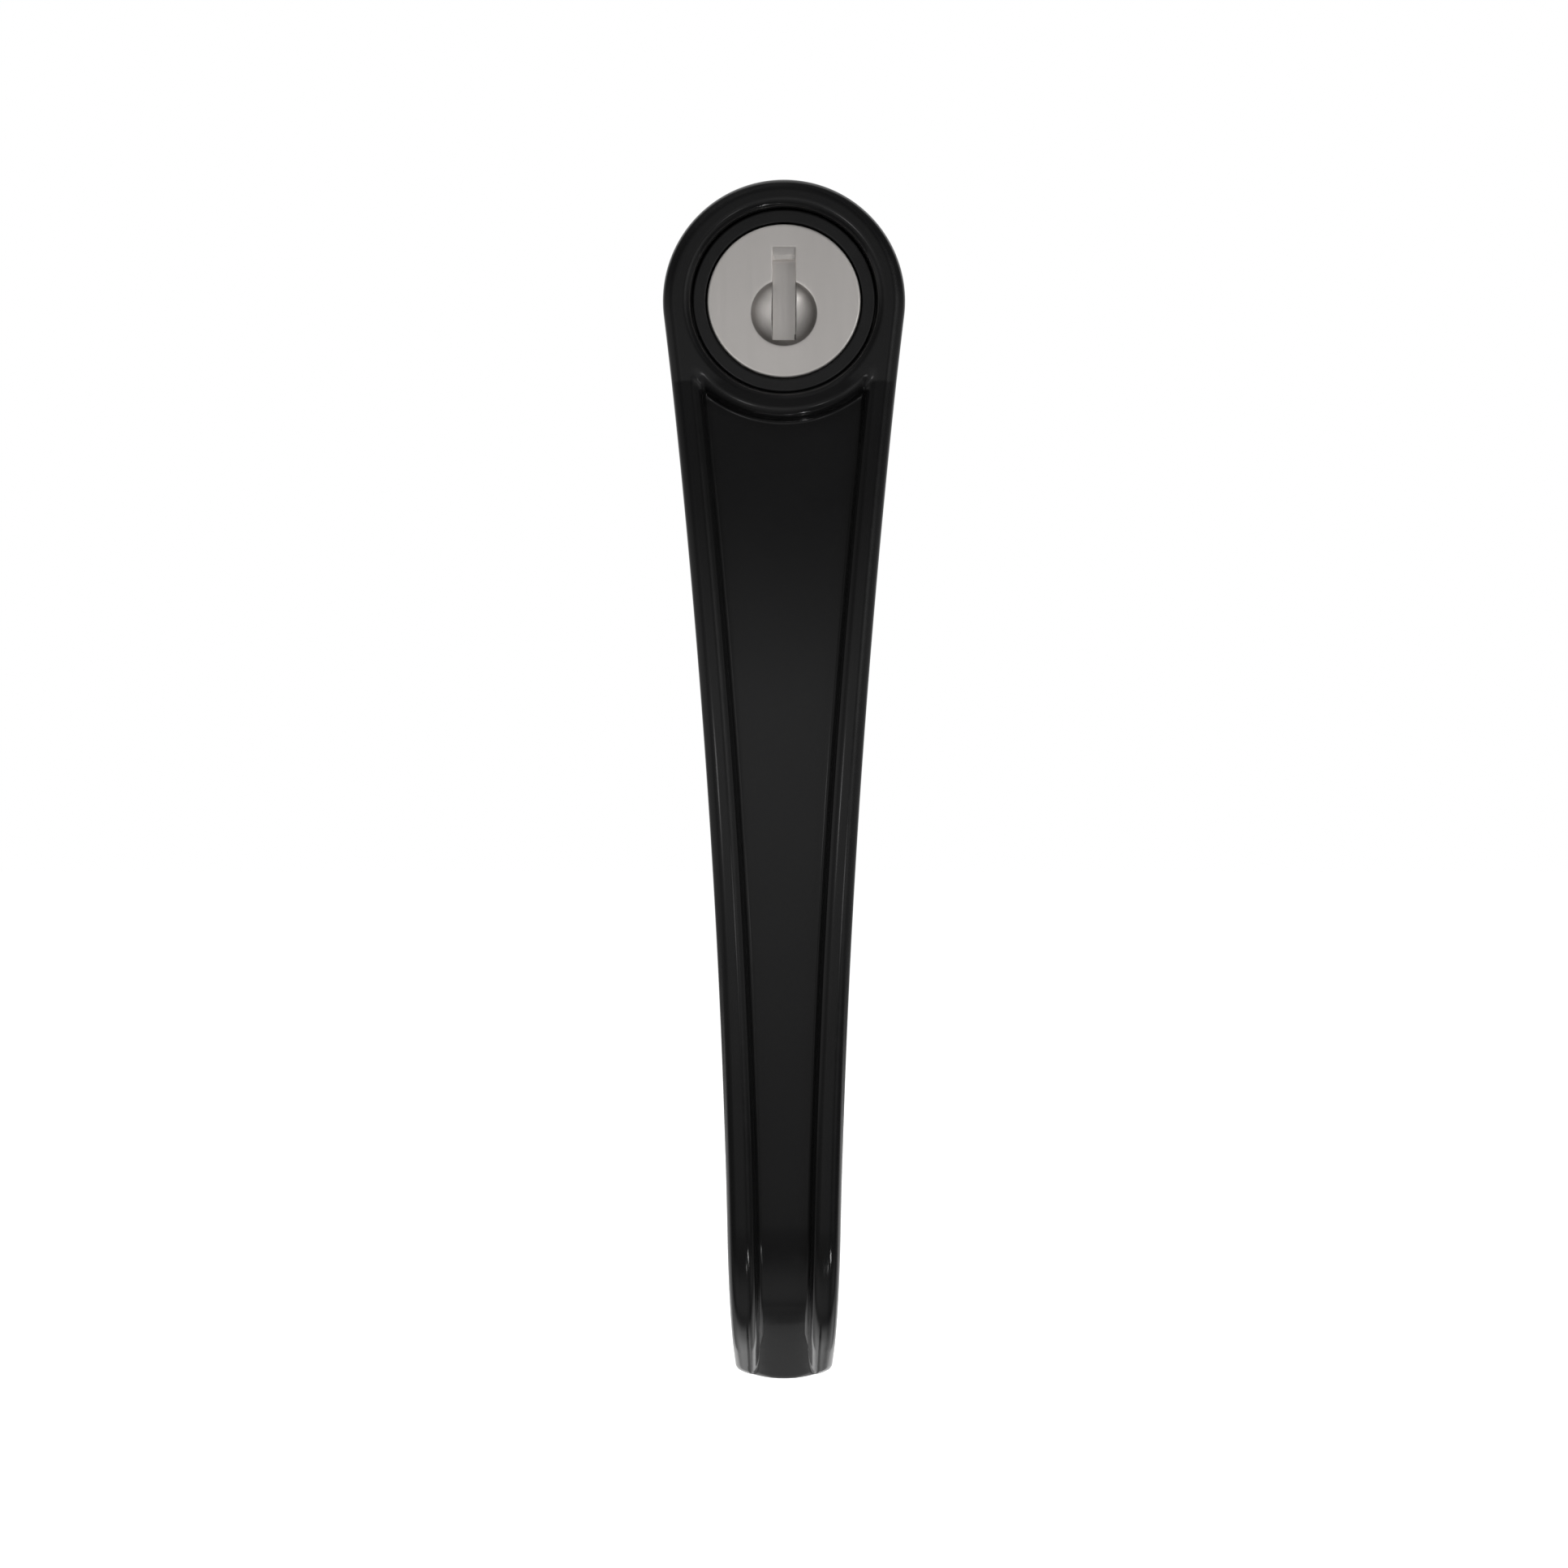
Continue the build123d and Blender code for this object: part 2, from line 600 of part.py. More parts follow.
shutter_front = face_cap_back - seat_gap
shutter_axis_height = shutter_front - shutter_knuckle_radius
pocket_left_x = shutter_left_x - shutter_side_gap
pocket_right_x = shutter_axis_x + shutter_knuckle_radius + shutter_side_gap
pocket_bottom_z = key_bottom_z - shutter_pocket_below
pocket_top_z = key_top_z + shutter_pocket_above
pocket_centre_z = (pocket_bottom_z + pocket_top_z) / 2
wafer_lug_x = -(wafer_half_width + wafer_lug_length)
wafer_lug_bottom_z = wafer_lug_z - wafer_lug_height / 2
spring_pocket_bottom_z = wafer_lug_bottom_z - wafer_spring_length
spring_pocket_top_z = wafer_lug_z + wafer_lug_height / 2 + wafer_travel + seat_gap

with BuildPart() as plug:
    with BuildSketch(Plane.XY):
        profile((0, plug_back), (plug_radius, plug_back), (plug_radius, face_cap_back), (0, face_cap_back))
    revolve(axis=Axis.Y)
    with BuildSketch(at_height(driver_back + seat_gap)):
        Rectangle(2 * tang_half_width, 2 * tang_half_width)
    extrude(amount=driver_thickness)
    # the keyway, and the pocket in front of it that the dust shutter swings into
    with BuildSketch(at_height(plug_back + keyway_end_wall)):
        with Locations((0, key_centre_z)):
            Rectangle(key_width, key_height)
    extrude(amount=face_cap_back - plug_back, mode=Mode.SUBTRACT)
    with BuildSketch(at_height(pocket_floor)):
        with Locations(((pocket_left_x + pocket_right_x) / 2, pocket_centre_z)):
            Rectangle(pocket_right_x - pocket_left_x, pocket_top_z - pocket_bottom_z)
    extrude(amount=shutter_pocket_depth, mode=Mode.SUBTRACT)
    # the shutter's pin drops into an open trench at each end of the pocket
    with BuildSketch(at_height(shutter_axis_height - shutter_pin_radius - running_gap)):
        with Locations((shutter_axis_x, pocket_centre_z)):
            trench_length = pocket_top_z - pocket_bottom_z + 2 * shutter_pin_end
            Rectangle(2 * (shutter_pin_radius + running_gap), trench_length)
    extrude(amount=shutter_pocket_depth, mode=Mode.SUBTRACT)
    # a slot right through for each wafer, with a pocket beside it for its spring
    for height in wafer_heights:
        with BuildSketch(at_height(height - wafer_slot / 2)):
            Rectangle(2 * (wafer_half_width + seat_gap), 3 * plug_radius)
            with Locations(((wafer_lug_x - seat_gap) / 2, (spring_pocket_bottom_z + spring_pocket_top_z) / 2)):
                Rectangle(seat_gap - wafer_lug_x, spring_pocket_top_z - spring_pocket_bottom_z)
        extrude(amount=wafer_slot, mode=Mode.SUBTRACT)
    # the tapped hole in the tang for the driver's screw
    with BuildSketch(at_height(driver_back)):
        Circle(driver_screw_radius + running_gap)
    extrude(amount=driver_screw_length, mode=Mode.SUBTRACT)
plug.part.label = "plug"
export_step(plug.part, "parts/plug.step")

for number, height in enumerate(wafer_heights, start=1):
    with BuildPart() as wafer:
        with BuildSketch(at_height(height - wafer_thickness / 2)):
            Rectangle(2 * wafer_half_width, 2 * wafer_half_height)
            with Locations((-wafer_half_width - wafer_lug_length / 2, wafer_lug_z)):
                Rectangle(wafer_lug_length, wafer_lug_height)
            with Locations((0, key_centre_z)):
                Rectangle(2 * wafer_window_half_width, key_height + 2 * seat_gap, mode=Mode.SUBTRACT)
        extrude(amount=wafer_thickness)
    wafer.part.label = f"wafer_{number}"
    export_step(wafer.part, f"parts/wafer_{number}.step")
    with BuildPart() as wafer_spring:
        with BuildSketch(Plane.XY.offset(spring_pocket_bottom_z + running_gap)):
            with Locations((-wafer_half_width - wafer_lug_length / 2, -height)):
                Circle(wafer_spring_radius)
                Circle(wafer_spring_radius - wafer_spring_wall, mode=Mode.SUBTRACT)
        extrude(amount=wafer_spring_length - 2 * running_gap)
    wafer_spring.part.label = f"wafer_spring_{number}"
    export_step(wafer_spring.part, f"parts/wafer_spring_{number}.step")

with BuildPart() as face_cap:
    with BuildSketch(at_height(face_cap_back)):
        Circle(face_cap_radius)
        with Locations((0, key_centre_z)):
            Rectangle(key_width, key_height, mode=Mode.SUBTRACT)
    extrude(amount=face_cap_thickness)
    # the slot's upper end slopes in, to lead the key
    with BuildSketch(Plane.YZ):
        Polygon(
            (-lock_face_height, key_top_z + key_ramp_length),
            (-lock_face_height, key_centre_z),
            (-lock_face_height + key_ramp_depth, key_centre_z),
            (-lock_face_height + key_ramp_depth, key_top_z),
            align=None,
        )
    extrude(amount=key_width / 2, both=True, mode=Mode.SUBTRACT)
    # the dished middle
    dish_radius = (dimple_radius**2 + dimple_depth**2) / (2 * dimple_depth)
    with Locations((0, -(lock_face_height - dimple_depth + dish_radius), dimple_z)):
        Sphere(dish_radius, mode=Mode.SUBTRACT)
    chamfer(face_cap.edges().filter_by(GeomType.CIRCLE).sort_by(Axis.Y)[:1], face_cap_edge)
face_cap.part.label = "face_cap"
export_step(face_cap.part, "parts/face_cap.step")

# Dust shutter: a flap behind the slot on a pin along its right edge, held shut by a small spring
knuckle_left_x = shutter_axis_x - shutter_knuckle_radius
spring_bottom_z = pocket_bottom_z + seat_gap
knuckle_bottom_z = spring_bottom_z + shutter_spring_length + seat_gap
knuckle_top_z = pocket_top_z - shutter_end_gap
with BuildPart() as dust_shutter:
    with BuildSketch(at_height(shutter_front)):
        with Locations(((shutter_left_x + knuckle_left_x) / 2, pocket_centre_z)):
            Rectangle(knuckle_left_x - shutter_left_x, pocket_top_z - pocket_bottom_z - 2 * shutter_end_gap)
    extrude(amount=-shutter_thickness)
    with BuildSketch(Plane.XY.offset(knuckle_bottom_z)):
        with Locations((shutter_axis_x, -shutter_axis_height)):
            Circle(shutter_knuckle_radius)
        with Locations((shutter_axis_x - shutter_knuckle_radius / 2, -shutter_front + shutter_thickness / 2)):
            Rectangle(shutter_knuckle_radius, shutter_thickness)
    extrude(amount=knuckle_top_z - knuckle_bottom_z)
    with BuildSketch(Plane.XY.offset(pocket_bottom_z)):
        with Locations((shutter_axis_x, -shutter_axis_height)):
            Circle(shutter_pin_radius + shutter_pin_fit)
    extrude(amount=pocket_top_z - pocket_bottom_z, mode=Mode.SUBTRACT)
dust_shutter.part.label = "dust_shutter"
export_step(dust_shutter.part, "parts/dust_shutter.step")

with BuildPart() as shutter_pin:
    with BuildSketch(Plane.XY.offset(pocket_bottom_z - shutter_pin_end + running_gap)):
        with Locations((shutter_axis_x, -shutter_axis_height)):
            Circle(shutter_pin_radius)
    extrude(amount=pocket_top_z - pocket_bottom_z + 2 * (shutter_pin_end - running_gap))
shutter_pin.part.label = "shutter_pin"
export_step(shutter_pin.part, "parts/shutter_pin.step")

with BuildPart() as shutter_spring:
    with BuildSketch(Plane.XY.offset(spring_bottom_z)):
        with Locations((shutter_axis_x, -shutter_axis_height)):
            Circle(shutter_knuckle_radius)
            Circle(shutter_pin_radius + shutter_spring_bore_gap, mode=Mode.SUBTRACT)
    extrude(amount=shutter_spring_length)
shutter_spring.part.label = "shutter_spring"
export_step(shutter_spring.part, "parts/shutter_spring.step")


# Driver: a disc on the plug's tang, whose spiral slot moves the lock bolt out and in
def spiral_side(shift):
    """One side of the spiral slot in the open BuildLine, this far out from its middle line."""
    steps = range(-spiral_overrun, int(key_swing) + spiral_overrun + 1, spiral_overrun)
    return Spline(*[polar(bolt_pin_z + bolt_throw * step / key_swing + shift, 90 + step) for step in steps])


with BuildPart() as driver_disc:
    with BuildSketch(at_height(driver_back)):
        Circle(driver_radius)
        Rectangle(2 * (tang_half_width + running_gap), 2 * (tang_half_width + running_gap), mode=Mode.SUBTRACT)
        with BuildLine():
            slot_half_width = bolt_pin_radius + seat_gap
            inner = spiral_side(-slot_half_width)
            outer = spiral_side(slot_half_width)
            TangentArc(inner @ 1, outer @ 1, tangent=inner % 1)
            TangentArc(outer @ 0, inner @ 0, tangent=-(outer % 0))
        make_face(mode=Mode.SUBTRACT)
    extrude(amount=driver_thickness)
driver_disc.part.label = "driver_disc"
export_step(driver_disc.part, "parts/driver_disc.step")

with BuildPart() as driver_screw:
    with BuildSketch(at_height(driver_back)):
        Circle(driver_screw_head_radius)
    extrude(amount=-driver_screw_head_height)
    with BuildSketch(at_height(driver_back)):
        Circle(driver_screw_radius)
    extrude(amount=driver_screw_length - screw_end_gap)
    with BuildSketch(at_height(driver_back - driver_screw_head_height)):
        Rectangle(driver_screw_cross_length, driver_screw_cross_width)
        Rectangle(driver_screw_cross_width, driver_screw_cross_length)
    extrude(amount=driver_screw_cross_depth, mode=Mode.SUBTRACT)
driver_screw.part.label = "driver_screw"
export_step(driver_screw.part, "parts/driver_screw.step")

with BuildPart() as lock_bolt:
    with BuildSketch(at_height(bolt_top - bolt_thickness)):
        with Locations((0, (bolt_tail_z + bolt_tip_z) / 2)):
            Rectangle(bolt_width, bolt_tip_z - bolt_tail_z)
    extrude(amount=bolt_thickness)
    chamfer(lock_bolt.faces().sort_by(Axis.Z)[-1].edges().filter_by(Axis.Y), bolt_tip_chamfer)
    with BuildSketch(at_height(bolt_top)):
        with Locations((0, bolt_pin_z)):
            Circle(bolt_pin_radius)
    extrude(amount=plug_back - 2 * seat_gap - bolt_top)
lock_bolt.part.label = "lock_bolt"
export_step(lock_bolt.part, "parts/lock_bolt.step")


# Spindle: a round bar with a square tang at each end
o_ring_groove_half = o_ring_section_radius + o_ring_groove_side_gap
with BuildPart() as spindle:
    with BuildSketch(Plane.XY):
        profile(
            (0, hub_end),
            (spindle_radius, hub_end),
            (spindle_radius, o_ring_height + o_ring_groove_half),
            (o_ring_seat_radius, o_ring_height + o_ring_groove_half),
            (o_ring_seat_radius, o_ring_height - o_ring_groove_half),
            (spindle_radius, o_ring_height - o_ring_groove_half),
            (spindle_radius, circlip_front + running_gap),
            (circlip_seat_radius, circlip_front + running_gap),
            (circlip_seat_radius, circlip_front - circlip_thickness - running_gap),
            (spindle_radius, circlip_front - circlip_thickness - running_gap),
            (spindle_radius, cam_front),
            (0, cam_front),
        )
    revolve(axis=Axis.Y)
    with BuildSketch(at_height(hub_end)):
        Rectangle(2 * square_half_width, 2 * square_half_width)
    extrude(amount=tang_top - hub_end)
    with BuildSketch(at_height(cam_front)):
        Rectangle(2 * square_half_width, 2 * square_half_width)
    extrude(amount=-(cam_thickness - seat_gap))
    with BuildSketch(at_height(tang_top)):
        Circle(spindle_screw_radius + running_gap)
    extrude(amount=-spindle_screw_length, mode=Mode.SUBTRACT)
    with BuildSketch(at_height(cam_back)):
        Circle(cam_screw_radius + running_gap)
    extrude(amount=cam_screw_length, mode=Mode.SUBTRACT)
spindle.part.label = "spindle"
export_step(spindle.part, "parts/spindle.step")

with BuildPart() as spindle_screw:
    with BuildSketch(at_height(screw_seat)):
        Circle(spindle_screw_head_radius)
    extrude(amount=spindle_screw_head_height)
    fillet(spindle_screw.edges().sort_by(Axis.Y)[0], spindle_screw_head_round)
    with BuildSketch(at_height(screw_seat + spindle_screw_head_height)):
        RegularPolygon(spindle_screw_key_flats / 2, 6, major_radius=False)
    extrude(amount=-spindle_screw_key_depth, mode=Mode.SUBTRACT)
    with BuildSketch(at_height(screw_seat)):
        Circle(spindle_screw_radius)
    extrude(amount=-(socket_roof + spindle_screw_length - screw_end_gap))
spindle_screw.part.label = "spindle_screw"
export_step(spindle_screw.part, "parts/spindle_screw.step")

with BuildPart() as stop_pin:
    with BuildSketch(at_height(flange_top - stop_pin_reach)):
        with Locations(polar(stop_pin_orbit, stop_pin_turn)):
            Circle(stop_pin_radius)
    extrude(amount=stop_pin_reach + hub_end - flange_top + stop_pin_hold)
    chamfer(stop_pin.edges().filter_by(GeomType.CIRCLE), stop_pin_chamfer)
stop_pin.part.label = "stop_pin"
export_step(stop_pin.part, "parts/stop_pin.step")

with BuildPart() as thrust_washer:
    with BuildSketch(at_height(flange_top)):
        Circle(thrust_washer_radius)
        Circle(spindle_radius + seat_gap, mode=Mode.SUBTRACT)
    extrude(amount=thrust_washer_thickness)
thrust_washer.part.label = "thrust_washer"
export_step(thrust_washer.part, "parts/thrust_washer.step")

with BuildPart() as o_ring:
    with BuildSketch(Plane.XY):
        with Locations((o_ring_seat_radius + o_ring_section_radius, -o_ring_height)):
            Circle(o_ring_section_radius)
    revolve(axis=Axis.Y)
o_ring.part.label = "o_ring"
export_step(o_ring.part, "parts/o_ring.step")

with BuildPart() as wave_washer:
    with BuildSketch(at_height(barrel_end)):
        Circle(circlip_radius + wave_washer_margin)
        Circle(spindle_radius + seat_gap, mode=Mode.SUBTRACT)
    extrude(amount=-wave_washer_thickness)
wave_washer.part.label = "wave_washer"
export_step(wave_washer.part, "parts/wave_washer.step")

with BuildPart() as circlip:
    with BuildSketch(at_height(circlip_front)):
        Circle(circlip_radius)
        Circle(circlip_seat_radius + running_gap, mode=Mode.SUBTRACT)
        with Locations((circlip_radius, 0)):
            Rectangle(2 * circlip_radius, circlip_mouth, mode=Mode.SUBTRACT)
    extrude(amount=-circlip_thickness)
    fillet(circlip.edges().filter_by(Axis.Y), circlip_corner)
circlip.part.label = "circlip"
export_step(circlip.part, "parts/circlip.step")

# Cam: a tongue that reaches behind the window frame
with BuildPart() as cam:
    with BuildSketch(at_height(cam_back)):
        Circle(cam_half_width)
        with Locations((0, -(cam_reach - cam_tip_round) / 2)):
            Rectangle(2 * cam_half_width, cam_reach - cam_tip_round)
        with Locations((0, -cam_reach + cam_tip_round)):
            Circle(cam_tip_round)
        make_hull()
        hole_width = 2 * (square_half_width + running_gap)
        Rectangle(hole_width, hole_width, mode=Mode.SUBTRACT)
    extrude(amount=cam_thickness)
    chamfer(cam.faces().sort_by(Axis.Y)[0].outer_wire().edges(), cam_edge)
cam.part.label = "cam"
export_step(cam.part, "parts/cam.step")

with BuildPart() as cam_washer:
    with BuildSketch(at_height(cam_back)):
        Circle(spindle_radius + cam_washer_margin)
        Circle(cam_screw_radius + 2 * seat_gap, mode=Mode.SUBTRACT)
    extrude(amount=-cam_washer_thickness)
cam_washer.part.label = "cam_washer"
export_step(cam_washer.part, "parts/cam_washer.step")

with BuildPart() as cam_screw:
    with BuildSketch(at_height(cam_back - cam_washer_thickness)):
        RegularPolygon(cam_screw_across_flats / 2, 6, major_radius=False)
    extrude(amount=-cam_screw_head_height)
    with BuildSketch(at_height(cam_back - cam_washer_thickness)):
        Circle(cam_screw_radius)
    extrude(amount=cam_washer_thickness + cam_screw_length - screw_end_gap)
cam_screw.part.label = "cam_screw"
export_step(cam_screw.part, "parts/cam_screw.step")
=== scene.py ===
"""Looks of a keyed lever lock for a window sash.

The frame gives the place of every part. This script adds the cast lever, the turned, threaded and bent pieces
and the finishes, and sets up the floor, the lamps and the camera.

Shapes are worked out in millimetres as (x, z, h): h is the height above the sash towards the user, so y = -h.
"""

import json
from math import acos, atan2, copysign, cos, hypot, pi, radians, sin, sqrt, tan

import bmesh
import bpy
import numpy as np
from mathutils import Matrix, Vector


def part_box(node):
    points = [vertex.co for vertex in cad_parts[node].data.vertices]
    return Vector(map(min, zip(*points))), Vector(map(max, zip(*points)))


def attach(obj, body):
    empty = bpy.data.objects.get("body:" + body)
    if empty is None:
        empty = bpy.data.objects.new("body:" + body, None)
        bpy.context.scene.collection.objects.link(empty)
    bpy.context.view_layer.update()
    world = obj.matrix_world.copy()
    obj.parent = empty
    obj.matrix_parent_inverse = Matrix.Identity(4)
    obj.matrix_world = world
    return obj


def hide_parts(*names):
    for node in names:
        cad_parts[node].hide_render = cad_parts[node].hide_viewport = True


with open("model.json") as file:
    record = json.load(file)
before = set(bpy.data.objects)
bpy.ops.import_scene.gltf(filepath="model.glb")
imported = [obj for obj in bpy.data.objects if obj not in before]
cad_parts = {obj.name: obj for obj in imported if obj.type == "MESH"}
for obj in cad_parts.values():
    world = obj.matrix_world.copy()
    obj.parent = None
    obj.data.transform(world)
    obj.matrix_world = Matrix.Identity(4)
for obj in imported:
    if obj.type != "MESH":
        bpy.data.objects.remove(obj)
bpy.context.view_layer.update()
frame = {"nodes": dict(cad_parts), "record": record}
MM = 0.001
join = np.concatenate


def low_high(node):
    """The node's box as two rows of x, y, z in millimetres."""
    low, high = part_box(node)
    return np.array([list(low), list(high)]) / MM


def levels(node):
    """The node's least and greatest height."""
    box = low_high(node)
    return -box[1, 1], -box[0, 1]


def half_width(node):
    """How far the node reaches to the right of the spindle's axis."""
    return low_high(node)[1, 0]


def unit(v):
    return v / np.linalg.norm(v)


def left_of(v):
    """The vector turned a quarter turn to the left."""
    return np.array([-v[1], v[0]])


def leg(long_side, other):
    """The other short side of a right triangle; 0 where there is none."""
    return np.sqrt(np.maximum(long_side**2 - other**2, 0))


def polar(radius, angles):
    """Points (x, z) at a radius and angles round the spindle."""
    return radius * np.cos(angles), radius * np.sin(angles)


# ---- sizes of the cast lever
HEAD = half_width("lever")
REACH = -low_high("lever")[0, 2]
SKIRT_END = levels("lever")[0]
RING_FACE = levels("lock_shell")[1]
RING_RADIUS = half_width("lock_shell")
LAND = RING_FACE + 1.0
MOUTH = RING_RADIUS + 0.1
MOUTH_ROUND = 0.95
OUTER_ROUND = 1.25
TIP_ROUND = 0.5
TIP_CORNER_ROUND = 0.4
BACK_ROUND = 1.5
TIP_BACK_ROUND = 0.8
INNER_RING = HEAD - OUTER_ROUND
ARM_TOP, TIP_TOP = -1.0, -100.0  # z below which the arm's outline and the tip's rounded edge count

# inside the skirt and the bore
SKIRT_HOLLOW, SKIRT_DEPTH = 11.1, 12.6
HUB, HUB_END = 9.45, 4.8
BORE_STEP, SLEEVE_BORE, BORE_FLOOR = 23.3, 8.3, 12.45
LAST_RING = 0.4  # innermost ring of a face that a fan closes

SIDE_ARC = 930.0
NOSE_LENGTH = 18.0
NOSE_HALF = 5.15
NOSE_FLARE = 0.68
CORNER_BACK = 1.6
BEND_Z = -8.45
# the long arc of each side touches the round head this far below the horizontal
NOSE_REACH = hypot(NOSE_HALF + NOSE_FLARE, REACH - NOSE_LENGTH)
CENTRE_REACH = SIDE_ARC + HEAD
SIDE_START = atan2(REACH - NOSE_LENGTH, NOSE_HALF + NOSE_FLARE) - acos(
    (CENTRE_REACH**2 + NOSE_REACH**2 - SIDE_ARC**2) / (2 * CENTRE_REACH * NOSE_REACH))


def circle_through(a, b, radius):
    """Centre of the circle of this radius through a and b, on the left of the way from a to b."""
    half = np.linalg.norm(b - a) / 2
    return (a + b) / 2 + unit(left_of(b - a)) * sqrt(radius**2 - half**2)


def tangent_circle(a, tangent, b):
    """Centre and signed radius of the arc from a to b that starts along tangent. Positive turns left."""
    normal = left_of(tangent)
    chord = b - a
    radius = chord @ chord / (2 * chord @ normal)
    return a + normal * radius, radius


ROOT = np.array(polar(HEAD, -SIDE_START))
NOSE_ROOT = np.array([NOSE_HALF + NOSE_FLARE, -REACH + NOSE_LENGTH])
SIDE_CENTRE = circle_through(ROOT, NOSE_ROOT, SIDE_ARC)
NOSE_CORNER = np.array([NOSE_HALF, -REACH + CORNER_BACK])
side_end = unit(left_of(NOSE_ROOT - SIDE_CENTRE))
NOSE_CENTRE, NOSE_ARC = tangent_circle(NOSE_ROOT, -np.sign(side_end[1]) * side_end, NOSE_CORNER)
NOSE_SIGN = copysign(1.0, NOSE_ARC)
CROWN_ARC = (NOSE_HALF**2 + CORNER_BACK**2) / (2 * CORNER_BACK)
CROWN_CENTRE = -REACH + CROWN_ARC


def side_x(z, inset):
    """Half width of the lever's outline at z, moved in by inset: the side's long arc, then the nose's arc."""
    radius = SIDE_ARC + inset
    long_arc = SIDE_CENTRE[0] - leg(radius, z - SIDE_CENTRE[1])
    radius = abs(NOSE_ARC) + NOSE_SIGN * inset
    nose = NOSE_CENTRE[0] - NOSE_SIGN * leg(radius, z - NOSE_CENTRE[1])
    return np.where(z > NOSE_ROOT[1], long_arc, nose)


def long_inset(x, z):
    """Distance in from the side's long arc, which goes on beside the nose."""
    return np.hypot(np.abs(x) - SIDE_CENTRE[0], z - SIDE_CENTRE[1]) - SIDE_ARC


def side_inset(x, z):
    """Distance in from the lever's side outline."""
    nose = NOSE_SIGN * (np.hypot(np.abs(x) - NOSE_CENTRE[0], z - NOSE_CENTRE[1]) - abs(NOSE_ARC))
    return np.where(z > NOSE_ROOT[1], long_inset(x, z), nose)


def crown_inset(x, z):
    """Distance in from the tip's crown."""
    return CROWN_ARC - np.hypot(x, z - CROWN_CENTRE)


def arc_points(a, tangent, b, count):
    """Points of the arc from a to b that starts along tangent, and its end tangent."""
    centre, radius = tangent_circle(a, tangent, b)
    start = atan2(*(a - centre)[::-1])
    end = atan2(*(b - centre)[::-1])
    turn = (end - start + pi) % (2 * pi) - pi
    angles = start + turn * np.linspace(0, 1, count)
    points = centre + abs(radius) * np.stack([np.cos(angles), np.sin(angles)], 1)
    return points, copysign(1.0, turn) * np.array([-sin(end), cos(end)])


def side_line(inset_root, inset_tip, end_degrees):
    """The lever's side view at a depth below its front face, as rising z and the heights there.

    A slope of 10 degrees, two long bows over the crown, a fall of 3 degrees, the nose's bend and a straight
    end; each corner is moved in along the middle of its two normals.
    """
    rise, fall, end = radians(10), radians(3), radians(end_degrees)
    rise_z, crown_z, fall_z, nose_z, nose_bend = -16.0, -46.0, -69.0, -REACH + 18.8, 17.5
    rise_h = LAND + (BEND_Z - rise_z) * tan(rise)
    crown_h = rise_h + (rise_z - crown_z) / sin(rise) * (1 - cos(rise))
    fall_h = crown_h - (crown_z - fall_z) / sin(fall) * (1 - cos(fall))
    nose_h = fall_h - (fall_z - nose_z) * tan(fall)
    end_z = nose_z - nose_bend * (sin(end) - sin(fall))
    end_h = nose_h - nose_bend * (cos(fall) - cos(end))
    past_z = -REACH - 2.0
    past_h = end_h - (end_z - past_z) * tan(end)
    corners = [(LAND, BEND_Z, rise / 2), (rise_h, rise_z, rise), (crown_h, crown_z, 0), (fall_h, fall_z, -fall),
               (nose_h, nose_z, -fall), (end_h, end_z, -end), (past_h, past_z, -end)]
    path = []
    for h, z, lean in corners:
        inset = inset_root + (inset_tip - inset_root) * (BEND_Z - z) / (BEND_Z - past_z)
        path.append(np.array([z - inset * sin(lean), h - inset * cos(lean)]))
    bend, rise_end, crown, fall_start, nose_start, nose_end, past = path
    bow, along = arc_points(rise_end, unit(rise_end - bend), crown, 60)
    ease, _ = arc_points(crown, along, fall_start, 60)
    nose, _ = arc_points(nose_start, unit(nose_start - fall_start), nose_end, 80)
    beyond = [past, past + (past - nose_end) * 3]
    line = join([[(1.0, bend[1])], [bend], bow, ease[1:], nose, beyond])
    return line[::-1, 0], line[::-1, 1]


RECESS_DEPTH = 1.8
FRONT_LINE = side_line(0, 0, 60)
FLOOR_LINE = side_line(RECESS_DEPTH, RECESS_DEPTH, 50)
BACK_LINE = side_line(6.5, 4.6, 60)
FACE_LEAN = np.hypot(1, np.gradient(FRONT_LINE[1], FRONT_LINE[0]))


def rounded_step(depth, slope_degrees, rim, foot):
    """A step down by depth whose wall leans: distances from the upper corner, and the share of the drop.

    An arc of radius rim, a straight wall and an arc of radius foot, each tangent to the next.
    """
    slope = radians(slope_degrees)
    rim_run, foot_run = rim * tan(slope / 2), foot * tan(slope / 2)
    turn = np.linspace(0, slope, 24)
    rim_d = -rim_run + rim * np.sin(turn)
    rim_h = rim * (1 - np.cos(turn))
    end_d = depth / tan(slope) + foot_run
    foot_d = end_d - foot * np.sin(turn[::-1])
    foot_h = depth - foot * (1 - np.cos(turn[::-1]))
    return join([rim_d, foot_d]), join([rim_h, foot_h]) / depth


RECESS_STEP = rounded_step(RECESS_DEPTH, 78, 1.25, 0.45)
RECESS_FOOT = 0.35
RAIL = 2.82
RECESS_TOP = 12.05
RECESS_CORNER = 0.95


def quarter_drop(distance, radius):
    """How far a rounded edge of this radius has dropped at a distance in from the wall."""
    inward = np.clip(radius - distance, 0, radius)
    return radius - leg(radius, inward)


